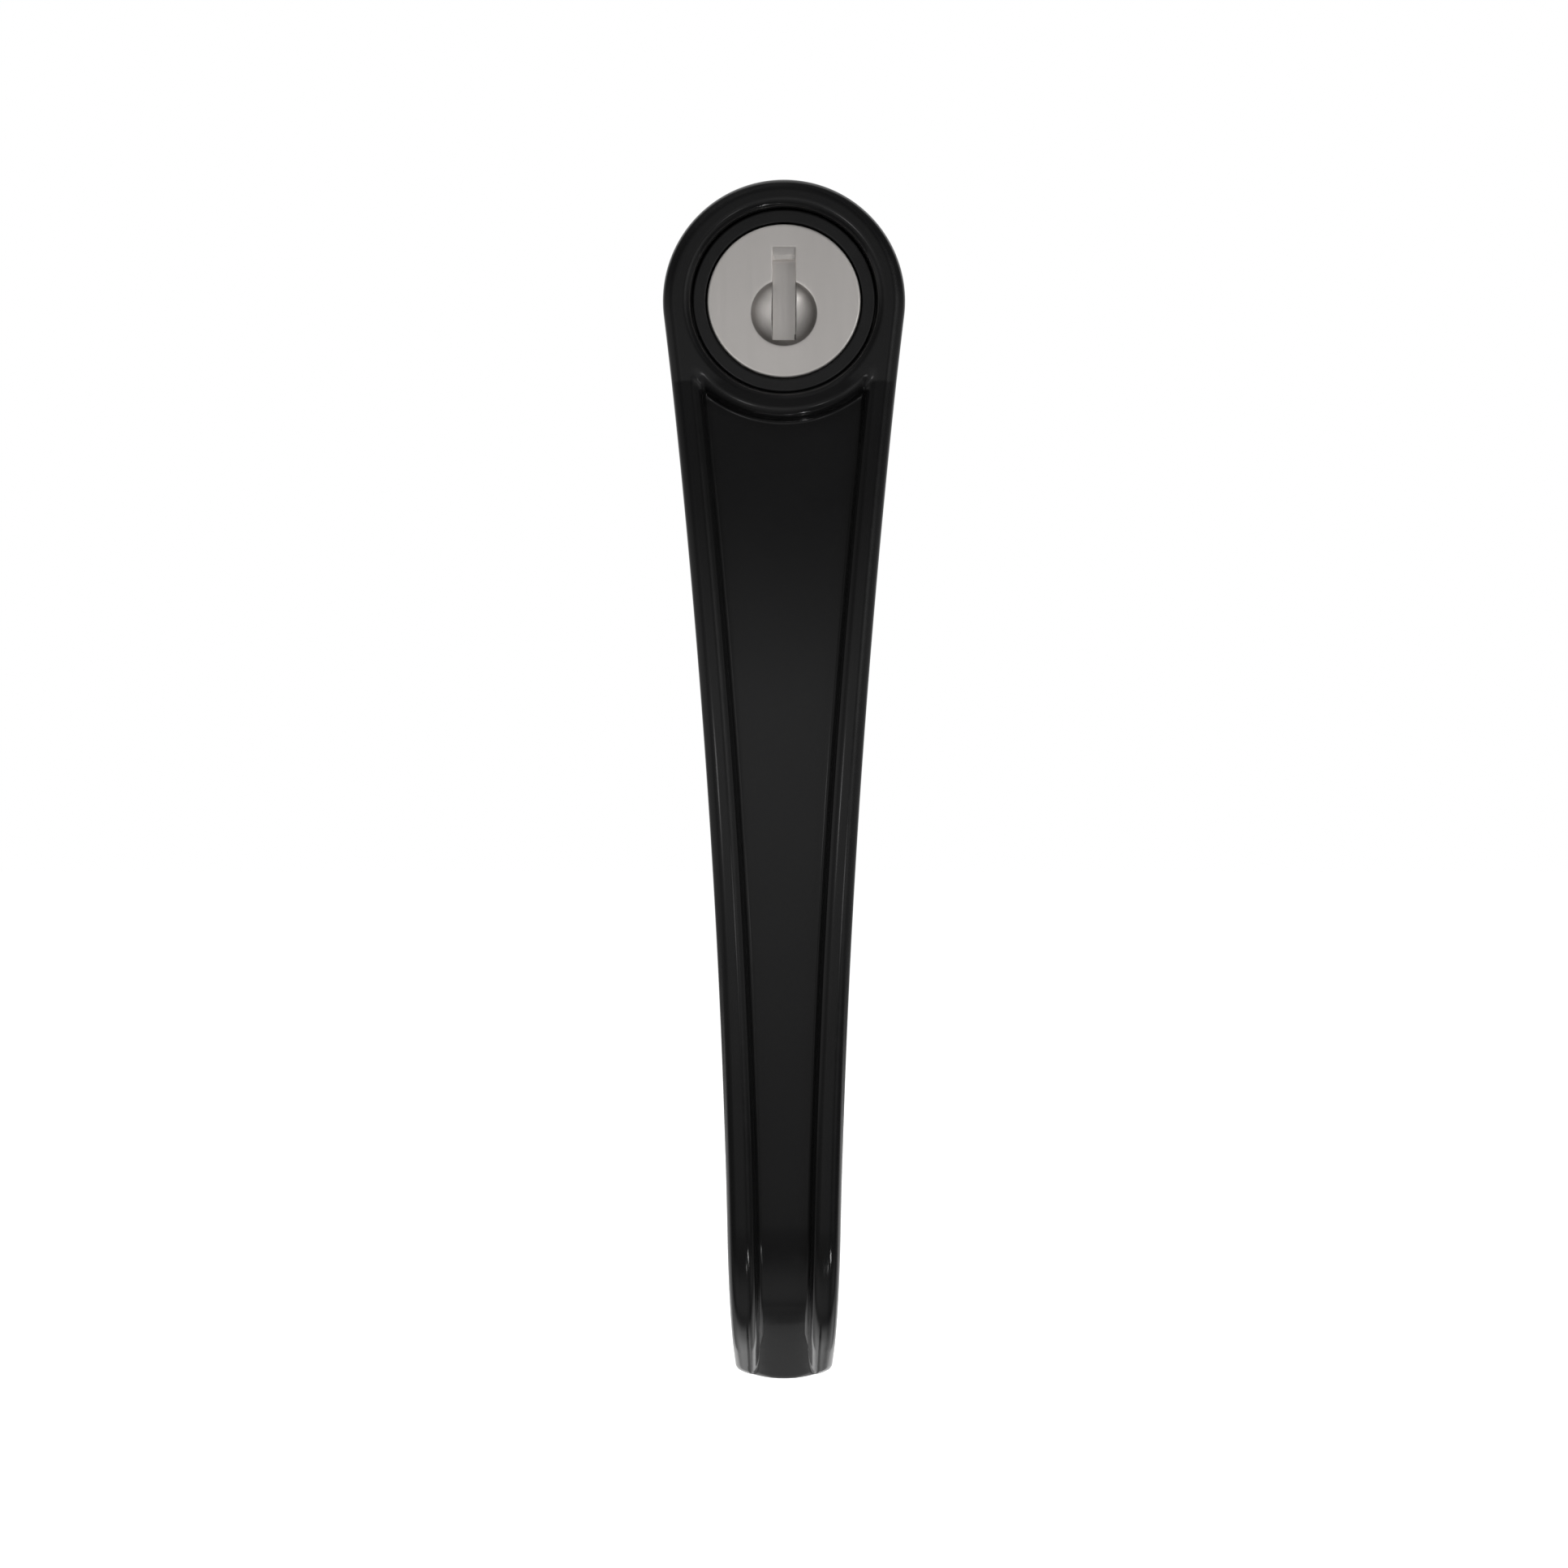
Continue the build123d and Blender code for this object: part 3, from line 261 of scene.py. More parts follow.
def recess_cut(x, z, depth):
    """How far the recess drops below the face: nothing on the rails and the head's ring, depth on its floor.

    Its sides keep to the long side arcs down to the tip. Where the floor comes up towards the face, near the
    tip, the wall keeps its slope and the floor meets it higher up.
    """
    side = long_inset(x, z) - RAIL
    top = np.hypot(x, z) - RECESS_TOP
    u, v = np.maximum(RECESS_CORNER - side, 0), np.maximum(RECESS_CORNER - top, 0)
    inside = np.where((u > 0) & (v > 0), RECESS_CORNER - np.hypot(u, v), np.minimum(side, top))
    whole = np.maximum(RECESS_DEPTH * np.interp(z, FRONT_LINE[0], FACE_LEAN), depth)
    wall = whole * np.interp(inside, *RECESS_STEP)
    soft = np.clip(np.minimum(whole - depth, depth), 1e-6, RECESS_FOOT)
    return np.minimum(wall, depth) - np.maximum(soft - np.abs(wall - depth), 0) ** 2 / (4 * soft)


def front_height(x, z):
    """Height of the lever's front: its side view, less the rounded edges, the recess and the bore's mouth."""
    face = np.interp(z, *FRONT_LINE)
    floor = np.interp(z, *FLOOR_LINE)
    on_arm = z < ARM_TOP
    radius = np.hypot(x, z)
    side = np.where(on_arm, side_inset(x, z), HEAD - radius)
    height = face - np.where(on_arm, recess_cut(x, z, np.maximum(face - floor, 0)), 0.0)
    height = height - quarter_drop(side, OUTER_ROUND) - quarter_drop(crown_inset(x, z), TIP_ROUND) * (z < TIP_TOP)
    return height - quarter_drop(radius - MOUTH, MOUTH_ROUND)


def back_height(x, z):
    """Height of the arm's back, which rises by its rounded edges."""
    tip = quarter_drop(crown_inset(x, z), TIP_BACK_ROUND) * (z < TIP_TOP)
    return np.interp(z, *BACK_LINE) + (quarter_drop(side_inset(x, z), BACK_ROUND) + tip)


def round_corner(x, z):
    """Round the tip's two upright corners: a small square at the corner is mapped onto a quarter disc."""
    size = TIP_CORNER_ROUND
    up = unit(NOSE_ROOT - NOSE_CORNER)
    across = unit(left_of(NOSE_CORNER - [0, CROWN_CENTRE]))
    axes = np.array([up, -np.sign(across[0]) * across]).T
    offset = np.stack([np.abs(x) - NOSE_CORNER[0], z - NOSE_CORNER[1]])
    s, t = np.tensordot(np.linalg.inv(axes), offset, 1)
    near = (s < size) & (t < size)
    u, v = np.clip(1 - s / size, 0, 1), np.clip(1 - t / size, 0, 1)
    s_round = np.where(near, s + size * (u - u * np.sqrt(1 - v**2 / 2)), s)
    t_round = np.where(near, t + size * (v - v * np.sqrt(1 - u**2 / 2)), t)
    moved = np.tensordot(axes, np.stack([s_round, t_round]), 1)
    return np.sign(x) * (moved[0] + NOSE_CORNER[0]), moved[1] + NOSE_CORNER[1]


# ---- putting surfaces into meshes
def grid_quads(rows, columns, wrap=False):
    """Quads of a grid whose points run along rows; wrap joins the last column to the first."""
    r = np.arange(rows - 1)[:, None] * columns
    c = np.arange(columns if wrap else columns - 1)[None, :]
    d = (c + 1) % columns
    return np.stack(np.broadcast_arrays(r + c, r + d, r + columns + d, r + columns + c), -1).reshape(-1, 4)


def to_metres(x, z, h):
    return np.stack([x, -h, z], -1).reshape(-1, 3) * MM


def patch(x, z, h, wrap=False):
    """A grid of points given as three arrays of the same rows and columns."""
    x, z, h = np.broadcast_arrays(x, z, h)
    return to_metres(x, z, h), grid_quads(*x.shape, wrap=wrap)


def fan(x, z, h):
    """Close a ring of points with triangles to one point on the axis, at the height of the ring."""
    count = len(x)
    points = join([to_metres(x, z, h), to_metres(*np.array([[0], [0], h[:1]]))])
    ring = np.arange(count)
    return points, np.stack([ring, (ring + 1) % count, np.full(count, count)], -1)


def outward(mesh, merge=0.0):
    """Turn the mesh's faces outwards; merge first joins points closer than this."""
    work = bmesh.new()
    work.from_mesh(mesh)
    if merge:
        bmesh.ops.remove_doubles(work, verts=work.verts, dist=merge)
        bmesh.ops.dissolve_degenerate(work, edges=work.edges, dist=merge / 4)
    bmesh.ops.recalc_face_normals(work, faces=work.faces)
    work.to_mesh(mesh)
    work.free()


def placed(name, data):
    """A new object with this mesh, lamp or camera, in the scene."""
    made = bpy.data.objects.new(name, data)
    bpy.context.collection.objects.link(made)
    return made


def build(name, patches, body, slot, nodes, finish=None, sharp=35.0):
    """Join patches, which are (points, faces) pairs, into one closed mesh with its faces outwards."""
    points, faces, first = [], [], 0
    for patch_points, patch_faces in patches:
        points.append(patch_points)
        faces += (patch_faces + first).tolist()
        first += len(patch_points)
    mesh = bpy.data.meshes.new(name)
    mesh.from_pydata(join(points).tolist(), [], faces)
    outward(mesh, merge=1e-6)
    mesh.shade_smooth()
    mesh.set_sharp_from_angle(angle=radians(sharp))
    mesh.materials.append(finish or FINISHES[slot])
    piece = placed(name, mesh)
    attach(piece, body)
    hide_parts(*nodes)
    return piece


# ---- the lever
def row_circles():
    """Rows down the arm, as circles (centre z, radius): round the head first, then straight, then round the tip."""
    near = INNER_RING + join([[0, 0.04, 0.09, 0.15, 0.22], np.arange(0.3, 2.9, 0.08)])
    crown_edge = CROWN_ARC - OUTER_ROUND
    middle = join([np.arange(14.3, 20, 0.35), np.arange(20, 92, 0.75), np.arange(92, 108, 0.3)])
    end = crown_edge - CROWN_CENTRE
    depth = join([near, middle, np.linspace(108, end, 22)])
    straight_from, straight_to = 34, 96
    easing_in = np.clip((depth - near[-1]) / (straight_from - near[-1]), 0, 1)
    easing_out = np.clip((depth - straight_to) / (end - straight_to), 0, 1)
    bow = (1 - easing_in) ** 2 / near[-1] + easing_out**2 / crown_edge
    radius = np.where(depth <= near[-1], depth, 1 / np.maximum(bow, 1e-4))
    return radius - depth, radius


def row_points(centre, radius, insets, inner_count):
    """Points across each row: at the given insets from both sides, and evenly between the innermost ones."""
    centre, radius = centre[:, None], radius[:, None]
    low = np.zeros(insets.shape)
    high = low + np.minimum(radius * cos(SIDE_START), 13.0)
    for _ in range(50):
        x = (low + high) / 2
        z = centre - leg(radius, x)
        inside = side_x(z, insets) > x
        low, high = np.where(inside, x, low), np.where(inside, high, x)
    x_side = (low + high) / 2
    share = np.linspace(1, -1, inner_count + 2)[1:-1]
    x = join([x_side, x_side[:, -1:] * share, -x_side[:, ::-1]], 1)
    return x, centre - leg(radius, x)


def lever_patches():
    """The lever's skin: the arm's front and back, the head's land and bore, the walls, the skirt and hub."""
    centre, radius = row_circles()
    deeper = join([np.arange(0.22, 0.9, 0.11), np.arange(0.9, 2.32, 0.06)])
    head_inset = join([[0, 0.002, 0.01, 0.025, 0.05, 0.09, 0.15], deeper])
    arm_inset = join([np.linspace(0, 0.19, 7), deeper])
    eased = np.clip((radius - centre - INNER_RING) / 6, 0, 1)[:, None]  # over the first 6 mm of the arm
    x, z = row_points(centre, radius, OUTER_ROUND + head_inset * (1 - eased) + arm_inset * eased, 22)
    out = [patch(x, z, front_height(x, z))]

    # edge of the arm's front, row by row, then the outline beside it
    edge_x, edge_z = x[:, 0], z[:, 0]
    nose_from = 104
    ease = np.clip((-edge_z - nose_from) / (-edge_z[-1] - nose_from), 0, 1) ** 2
    long_side = edge_z > NOSE_ROOT[1]
    out_x = np.where(long_side, SIDE_CENTRE[0] - edge_x, NOSE_SIGN * (NOSE_CENTRE[0] - edge_x))
    out_z = np.where(long_side, SIDE_CENTRE[1] - edge_z, NOSE_SIGN * (NOSE_CENTRE[1] - edge_z))
    rim_z = edge_z + OUTER_ROUND * out_z / np.hypot(out_x, out_z)
    rim_z = rim_z + ease * (NOSE_CORNER[1] - rim_z[-1])
    rim_x = side_x(rim_z, 0.0)
    crown_x = x[-1] * NOSE_HALF / x[-1, 0]
    crown_z = CROWN_CENTRE - leg(CROWN_ARC, crown_x)

    # down the right side, across the crown, up the left side
    inner_x = join([edge_x, x[-1, 1:-1], -edge_x[::-1]])
    inner_z = join([edge_z, z[-1, 1:-1], edge_z[::-1]])
    outline_x = join([rim_x, crown_x[1:-1], -rim_x[::-1]])
    outline_z = join([rim_z, crown_z[1:-1], rim_z[::-1]])
    quarter = np.sin(np.linspace(0, pi / 2, 12))[:, None]
    strip_x = inner_x + (outline_x - inner_x) * quarter
    strip_z = inner_z + (outline_z - inner_z) * quarter
    strip_h = front_height(strip_x, strip_z)
    out.append(patch(strip_x, strip_z, strip_h))

    # the arm's wall, from the rounded front edge down to the rounded back edge
    wall_low = back_height(outline_x, outline_z)
    wall = np.linspace(0, 1, 4)[:, None]
    out.append(patch(outline_x, outline_z, strip_h[-1] + (wall_low - strip_h[-1]) * wall))

    # the arm's back
    back_radius = np.hypot(rim_x, rim_z - centre)[:, None]
    back_x = rim_x[:, None] * crown_x / NOSE_HALF
    back_z = centre[:, None] - leg(back_radius, back_x)
    back_z[:, 0], back_z[:, -1] = rim_z, rim_z
    back_z[-1] = crown_z
    back_h = back_height(back_x, back_z)
    out.append(patch(back_x, back_z, back_h))

    # the head: angles follow the arm's first row below, and go evenly round the rest
    low_angles = np.arctan2(z[0], x[0])
    top_angles = np.linspace(-pi + SIDE_START, -SIDE_START - 2 * pi, 390)[1:-1]
    angles = join([low_angles, top_angles])
    rings = join([MOUTH + MOUTH_ROUND * (1 - np.cos(np.linspace(0, pi / 2, 12))),
                  np.linspace(MOUTH + MOUTH_ROUND, INNER_RING, 7)[1:]])[:, None]
    ring_x, ring_z = polar(rings, angles)
    ring_h = front_height(ring_x, ring_z)
    ring_x[-1, : len(low_angles)], ring_z[-1, : len(low_angles)] = x[0], z[0]
    ring_h[0] = np.interp(ring_z[0], *FRONT_LINE) - MOUTH_ROUND
    ring_h[-1] = front_height(ring_x[-1], ring_z[-1])
    out.append(patch(ring_x, ring_z, ring_h, wrap=True))

    # the head's rounded edge and wall above the arm, from the left side over the top to the right side
    arc = join([low_angles[-1:], top_angles, low_angles[:1] - 2 * pi])
    edge = INNER_RING + OUTER_ROUND * quarter
    edge_h = LAND - OUTER_ROUND + leg(OUTER_ROUND, edge - INNER_RING)
    out.append(patch(*polar(edge, arc), edge_h))
    rim_high, rim_low = strip_h[-1, 0], wall_low[0]
    down = np.linspace(0, 1, 7)
    heights = join([rim_high + (rim_low - rim_high) * wall[:, 0], rim_low + (SKIRT_END - rim_low) * down[1:]])
    out.append(patch(*polar(HEAD, arc), heights[:, None]))
    under = np.arctan2(back_z[0], back_x[0])
    out.append(patch(*polar(HEAD, under), back_h[0] + (SKIRT_END - back_h[0]) * down[:, None]))

    # skirt, hub and the inside of the bore
    skirt_angles = join([under, top_angles])
    skirt = np.array([(HEAD, SKIRT_END), (SKIRT_HOLLOW, SKIRT_END), (SKIRT_HOLLOW, SKIRT_DEPTH),
                      (HUB, SKIRT_DEPTH), (HUB, HUB_END), (LAST_RING, HUB_END)])
    out.append(patch(*polar(skirt[:, :1], skirt_angles), skirt[:, 1:], wrap=True))
    out.append(fan(*polar(LAST_RING, skirt_angles), np.full(len(skirt_angles), HUB_END)))
    bore = np.array([(MOUTH, BORE_STEP), (SLEEVE_BORE, BORE_STEP), (SLEEVE_BORE, BORE_FLOOR), (LAST_RING, BORE_FLOOR)])
    bore_x, bore_z = polar(bore[:, :1], angles)
    bore_h = np.broadcast_to(bore[:, 1:], bore_x.shape)
    out.append(patch(*[join([row[:1], rest]) for row, rest in
                       ((ring_x, bore_x), (ring_z, bore_z), (ring_h, bore_h))], wrap=True))
    out.append(fan(*polar(LAST_RING, angles), np.full(len(angles), BORE_FLOOR)))

    for points, _ in out:
        points[:, ::2] = np.stack(round_corner(*points[:, ::2].T / MM), -1) * MM
    return out


# ---- finishes
def node(tree, kind, sockets=None, **settings):
    """A new shader node; sockets gives the value of each input, or the output that feeds it."""
    made = tree.nodes.new("ShaderNode" + kind)
    for name, value in settings.items():
        setattr(made, name, value)
    for name, value in (sockets or {}).items():
        if isinstance(value, bpy.types.NodeSocket):
            tree.links.new(value, made.inputs[name])
        else:
            made.inputs[name].default_value = value
    return made


def material(name, colour, roughness, metallic=0.0):
    """A Principled material: itself, its tree, its shader and its Object coordinates."""
    made = bpy.data.materials.new(name)
    made.use_nodes = True
    tree = made.node_tree
    shader = tree.nodes["Principled BSDF"]
    for socket, value in (("Base Color", (*colour, 1.0)), ("Roughness", roughness), ("Metallic", metallic)):
        shader.inputs[socket].default_value = value
    return made, tree, shader, node(tree, "TexCoord").outputs["Object"]


def noise(tree, place, scale, detail, stretch=(1, 1, 1), roughness=0.5):
    """A noise value over the piece; stretch draws it out along an axis."""
    drawn = node(tree, "Mapping", {"Scale": stretch, "Vector": place}).outputs["Vector"]
    sockets = {"Scale": scale, "Detail": detail, "Roughness": roughness, "Vector": drawn}
    return node(tree, "TexNoise", sockets).outputs["Fac"]


def ranged(tree, value, low, high, start=0.3, end=0.7):
    """Map a value from start..end to low..high."""
    sockets = {"From Min": start, "From Max": end, "To Min": low, "To Max": high, "Value": value}
    return node(tree, "MapRange", sockets).outputs["Result"]


def surfaced(made, tree, shader, colour, second, cloud, gloss, rough, grain, height):
    """Blend two colours by the cloud and the roughness by the gloss, and raise the grain by a height in mm."""
    shares = {"A": (*colour, 1.0), "B": (*second, 1.0), "Factor": ranged(tree, cloud, 0, 1)}
    blend = node(tree, "Mix", shares, data_type="RGBA")
    bump = node(tree, "Bump", {"Strength": 1.0, "Distance": height * MM, "Height": grain})
    for socket, output in (("Base Color", blend.outputs["Result"]), ("Roughness", ranged(tree, gloss, *rough)),
                           ("Normal", bump.outputs["Normal"])):
        tree.links.new(output, shader.inputs[socket])
    return made


def mottled(name, colour, second, rough, cloud, gloss, grain, height, metallic=0.0):
    """Enamel, plating or rubber: cloud, gloss and grain are each a noise's scale and detail."""
    made, tree, shader, place = material(name, colour, rough[0], metallic)
    spots = [noise(tree, place, *each) for each in (cloud, gloss, grain)]
    return surfaced(made, tree, shader, colour, second, spots[0], spots[1], rough, spots[2], height)


def brushed(name, colour, second, rough, stretch, height=0.0015, metallic=1.0):
    """Brushed metal: fine lines drawn out along one axis, in colour, gloss and height."""
    made, tree, shader, place = material(name, colour, rough[0], metallic)
    lines, gloss = noise(tree, place, 2600, 3, stretch, 0.6), noise(tree, place, 260, 3, stretch)
    return surfaced(made, tree, shader, colour, second, lines, gloss, rough, lines, height)


ENAMEL = {"cloud": (90, 3), "gloss": (700, 3), "grain": (650, 1)}  # slight orange peel and faint clouds
ZINC = {"cloud": (160, 4), "gloss": (900, 3), "grain": (2400, 2), "height": 0.0012, "metallic": 1.0}
MOULDED = {"cloud": (120, 3), "gloss": (500, 2), "grain": (900, 2)}
ALONG_Z, ALONG_Y = (1, 1, 0.05), (1, 0.05, 1)
FINISHES = {
    "black_enamel": mottled("black_enamel", (0.0040, 0.0040, 0.0042), (0.0050, 0.0050, 0.0052), (0.12, 0.16),
                            height=0.0006, **ENAMEL),
    "black_ring": mottled("black_ring", (0.0046, 0.0046, 0.0048), (0.0056, 0.0056, 0.0058), (0.20, 0.26),
                          height=0.0005, **ENAMEL),
    "satin_steel": brushed("satin_steel", (0.90, 0.862, 0.828), (0.86, 0.823, 0.79), (0.20, 0.26), ALONG_Z,
                           0.0003, 0.80),
    "plated_steel": mottled("zinc_plate", (0.53, 0.535, 0.52), (0.44, 0.45, 0.45), (0.22, 0.36), **ZINC),
    "zinc_casting": mottled("zinc_casting", (0.42, 0.42, 0.43), (0.36, 0.36, 0.37), (0.42, 0.55), **ZINC),
    "brass": brushed("brass", (0.70, 0.52, 0.26), (0.62, 0.45, 0.21), (0.28, 0.36), ALONG_Z),
    "spring_steel": brushed("spring_steel", (0.36, 0.36, 0.37), (0.29, 0.29, 0.31), (0.25, 0.35), ALONG_Y),
    "rubber": mottled("rubber", (0.022, 0.022, 0.023), (0.030, 0.030, 0.031), (0.62, 0.78), height=0.01, **MOULDED),
    "nylon": mottled("nylon", (0.72, 0.71, 0.66), (0.68, 0.66, 0.61), (0.42, 0.52), height=0.004, **MOULDED),
}

for part in frame["record"]["subparts"]:
    solid = frame["nodes"][part["node"]]
    solid.data.materials.clear()
    solid.data.materials.append(FINISHES[part["material_slot"]])


# ---- turned, threaded and sawn metal
def softened(corners, radii, hold=0.04, steps=5):
    """A closed section (r, h) with its corners rounded.

    Each corner becomes an arc that is tangent to both its sides. A point is kept a little past each end of the
    arc, so that the flat beside it shades flat. A radius of 0 keeps the corner.
    """
    corners = np.array(corners, float)
    rows = []
    for corner, before, after, radius in zip(corners, np.roll(corners, 1, 0), np.roll(corners, -1, 0), radii):
        if radius == 0:
            rows.append(corner[None])
            continue
        back, on = unit(before - corner), unit(after - corner)
        half = acos(np.clip(back @ on, -1, 1)) / 2
        run = radius / tan(half)
        centre = corner + unit(back + on) * radius / sin(half)
        start, end = corner + back * run - centre, corner + on * run - centre
        angle = atan2(start[0] * end[1] - start[1] * end[0], start @ end)
        c, s = polar(1, angle * np.linspace(0, 1, steps))
        arc = centre + np.stack([start[0] * c - start[1] * s, start[0] * s + start[1] * c], 1)
        rows += [(corner + back * (run + hold))[None], arc, (corner + on * (run + hold))[None]]
    return join(rows)


def evenly(count):
    """This many angles, evenly spaced round the spindle."""
    return np.linspace(0, 2 * pi, count, endpoint=False)


def around(count, extra=()):
    """Evenly spaced angles, with the extra ones put in between."""
    return np.unique(np.round(join([evenly(count), np.asarray(extra)]), 9))


def turned(section, angles, radius=None):
    """A section (r, h) carried round the spindle; radius may change r with h and the angle."""
    section = join([section, section[:1]])
    r, h = section[:, :1] + np.zeros(len(angles)), section[:, 1:] + np.zeros(len(angles))
    return [patch(*polar(radius(r, h, angles) if radius else r, angles), h, wrap=True)]


def block(outline, low, high, along="h"):
    """A cutter: an outline carried from low to high, along the height or along z."""
    first, second = np.asarray(outline, float).T
    count = len(first)
    points = []
    for level in (low, high):
        end = np.full(count, level)
        points.append(to_metres(first, second, end) if along == "h" else to_metres(first, end, second))
    ring = np.arange(count)
    after = (ring + 1) % count
    sides = np.stack([ring, after, after + count, ring + count], -1).tolist()
    mesh = bpy.data.meshes.new("cutter")
    mesh.from_pydata(join(points).tolist(), [], sides + [ring.tolist(), (ring + count).tolist()])
    outward(mesh)
    return mesh


def at_turn(radius, degrees):
    """The point at this radius and this angle round the spindle."""
    return radius * cos(radians(degrees)), radius * sin(radians(degrees))


def rectangle(x, z, half_x, half_z, degrees=0.0):
    """The corners of a rectangle round (x, z), turned by degrees."""
    c, s = at_turn(1, degrees)
    corners = np.array([(-half_x, -half_z), (half_x, -half_z), (half_x, half_z), (-half_x, half_z)])
    return corners @ np.array([(c, s), (-s, c)]) + [x, z]


def disc(x, z, radius):
    """Points of a circle round (x, z)."""
    return np.stack(polar(radius, evenly(48)), 1) + [x, z]


def cut(piece, cutters, sharp=35.0):
    """Take the cutters out of a piece, one after the other, and keep its shading."""
    for mesh in cutters:
        tool = placed("cutter", mesh)
        change = piece.modifiers.new("cut", "BOOLEAN")
        change.operation, change.solver, change.object = "DIFFERENCE", "EXACT", tool
        bpy.context.view_layer.update()
        result = bpy.data.meshes.new_from_object(piece.evaluated_get(bpy.context.evaluated_depsgraph_get()))
        piece.modifiers.clear()
        old, piece.data = piece.data, result
        result.name = piece.name
        bpy.data.meshes.remove(old)
        bpy.data.objects.remove(tool)
        bpy.data.meshes.remove(mesh)
    piece.data.set_sharp_from_angle(angle=radians(sharp))


# ---- flat and six-sided metal with softened edges
def circle_sides(radius, z=0.0):
    """A circle round (0, z) as half planes: rows of (normal x, normal z, distance from the spindle's axis)."""
    normal = np.stack(polar(1, evenly(240)), 1)
    return join([normal, (normal @ [0, z] + radius)[:, None]], 1)


def flat_sides(degrees, distance):
    """Straight sides as half planes, each square to its angle and this far from the axis."""
    angles = np.radians(degrees)
    return np.stack([*polar(1, angles), np.full(angles.shape, distance)], 1)


def reach(sides, angles, inset=0.0):
    """Distance from the axis to the outline at each angle: the least that one of its half planes allows."""
    facing = sides[:, :1] * np.cos(angles) + sides[:, 1:2] * np.sin(angles)
    return np.min(np.where(facing > 1e-3, (sides[:, 2:] - inset) / np.maximum(facing, 1e-3), 1e3), 0)


def skin(rows, angles, height=None):
    """Radii and heights of rows of (radii at the angles, level); height may change h with r and the angle."""
    r = np.array([row for row, _ in rows])
    h = np.array([level for _, level in rows])[:, None] + np.zeros(len(angles))
    return r, height(r, h, angles) if height else h


def plate(hole, outer, low, high, angles, edge, height=None):
    """A flat ring between two outlines, with every edge rounded by the same radius.

    The rows go up the hole's wall, out across the upper face, down the outer wall and back under. On a rounded
    edge the outline is inset by edge (1 - cos t) while the height changes by edge sin t.
    """
    t = np.linspace(0, pi / 2, 5)
    hold = 0.05
    inset, rise = edge * (1 - np.cos(t)), edge * (1 - np.sin(t))
    wall = [(0, low + edge + hold), (0, high - edge - hold)]
    up = [(i, high - r) for i, r in zip(inset, rise)] + [(edge + hold, high)]
    down = [(edge + hold, low)] + [(i, low + r) for i, r in zip(inset[::-1], rise[::-1])]
    rows = [(reach(hole, angles, -i), h) for i, h in wall + up]
    inner, rim = reach(hole, angles, -edge - hold), reach(outer, angles, edge + hold)
    rows += [(inner + (rim - inner) * share, high) for share in (0.2, 0.4, 0.6, 0.8)]
    rows += [(reach(outer, angles, i), h) for i, h in up[::-1] + wall[::-1] + down[::-1]]
    rows += [(inner + (rim - inner) * share, low) for share in (0.8, 0.6, 0.4, 0.2)]
    rows += [(reach(hole, angles, -i), h) for i, h in down]
    r, h = skin([*rows, rows[0]], angles, height)
    return [patch(*polar(r, angles), h, wrap=True)]


def screw_head(outer, low, high, angles, shank, end, edge, height):
    """A headed screw as one skin: face, head, seat and shank; the rows are outlines that shrink to the axis."""
    t = np.linspace(0, pi / 2, 4)
    rim = reach(outer, angles, edge)
    rows = [(rim * share, low) for share in (0.05, 0.3, 0.6, 0.85)]
    rows += [(reach(outer, angles, i), low + r) for i, r in zip(edge * (1 - np.sin(t)), edge * (1 - np.cos(t)))]
    rows += [(reach(outer, angles), low + share * (high - low)) for share in (0.3, 0.6, 0.9)]
    rows += [(reach(outer, angles, i), high - r) for i, r in ((0, edge), (0.3 * edge, 0.3 * edge), (edge, 0))]
    shaft = [(shank + 0.3, high), (shank, high + 0.3), (shank, end - 0.6), (shank - 0.6, end), (0.1, end)]
    rows += [(np.full(len(angles), radius), level) for radius, level in shaft]
    r, h = skin(rows, angles, height)
    ends = [fan(*polar(r[k], angles), h[k]) for k in (0, -1)]
    return [patch(*polar(r, angles), h, wrap=True), *ends]


def turned_down(start, slope, low, high):
    """Corners turned to a cone: the height keeps clear of both faces by (r - start) times slope."""
    def height(r, h, angles):
        drop = np.maximum(r - start, 0) * slope
        return np.clip(h, low + drop, high - drop)
    return height


# ---- base, gasket and the fastening behind the sash
BASE_LOW, COLLAR_TOP = levels("base_housing")
GASKET_LOW, GASKET_TOP = levels("sash_gasket")
FLANGE_RADIUS = half_width("base_housing")
FLANGE_TOP = GASKET_TOP + 3.2
BARREL_RADIUS, BARREL_FLAT, BARREL_CHAMFER = 8.0, 7.2, 1.0
BORE = 4.55
COLLAR = (9.5, 10.8)
THREAD_PITCH, THREAD_DEPTH = 1.0, 0.5
NOTCH_FLOOR, NOTCH_DEEP, NOTCH_WIDE = 10.15, 1.3, 1.7
PIN_ORBIT, PIN_ROOM, PIN_GROOVE = 7.0, 1.45, 1.5
BASE_SHARP = 50
SASH_HOLE, GASKET_RADIUS, WASHER_FLAT, NUT_HOLE, WASHER_HOLE = 8.1, 12.0, 7.3, 8.05, 2.65


def barrel_skin(r, h, angles):
    """The barrel's thread, inside its chamfered end and its two flats.

    The groove's depth is a raised cosine of h / pitch + a / (2 pi), made steeper and cut off. The flats hold the
    radius to flat / |cos a|.
    """
    phase = h / THREAD_PITCH + angles / (2 * pi)
    thread = THREAD_DEPTH * np.clip(0.5 + 0.75 * np.cos(2 * pi * phase), 0, 1)
    run_out = np.clip((GASKET_TOP - 0.4 - h) / 1.2, 0, 1)
    end_cone = BARREL_RADIUS - BARREL_CHAMFER + np.maximum(h - BASE_LOW, 0)
    screwed = np.minimum(np.minimum(BARREL_RADIUS - thread * run_out, end_cone), r)
    flats = BARREL_FLAT / np.maximum(np.abs(np.cos(angles)), 1e-6)
    return np.where((h < GASKET_TOP - 0.2) & (r > BORE + 1.8), np.minimum(screwed, flats), r)


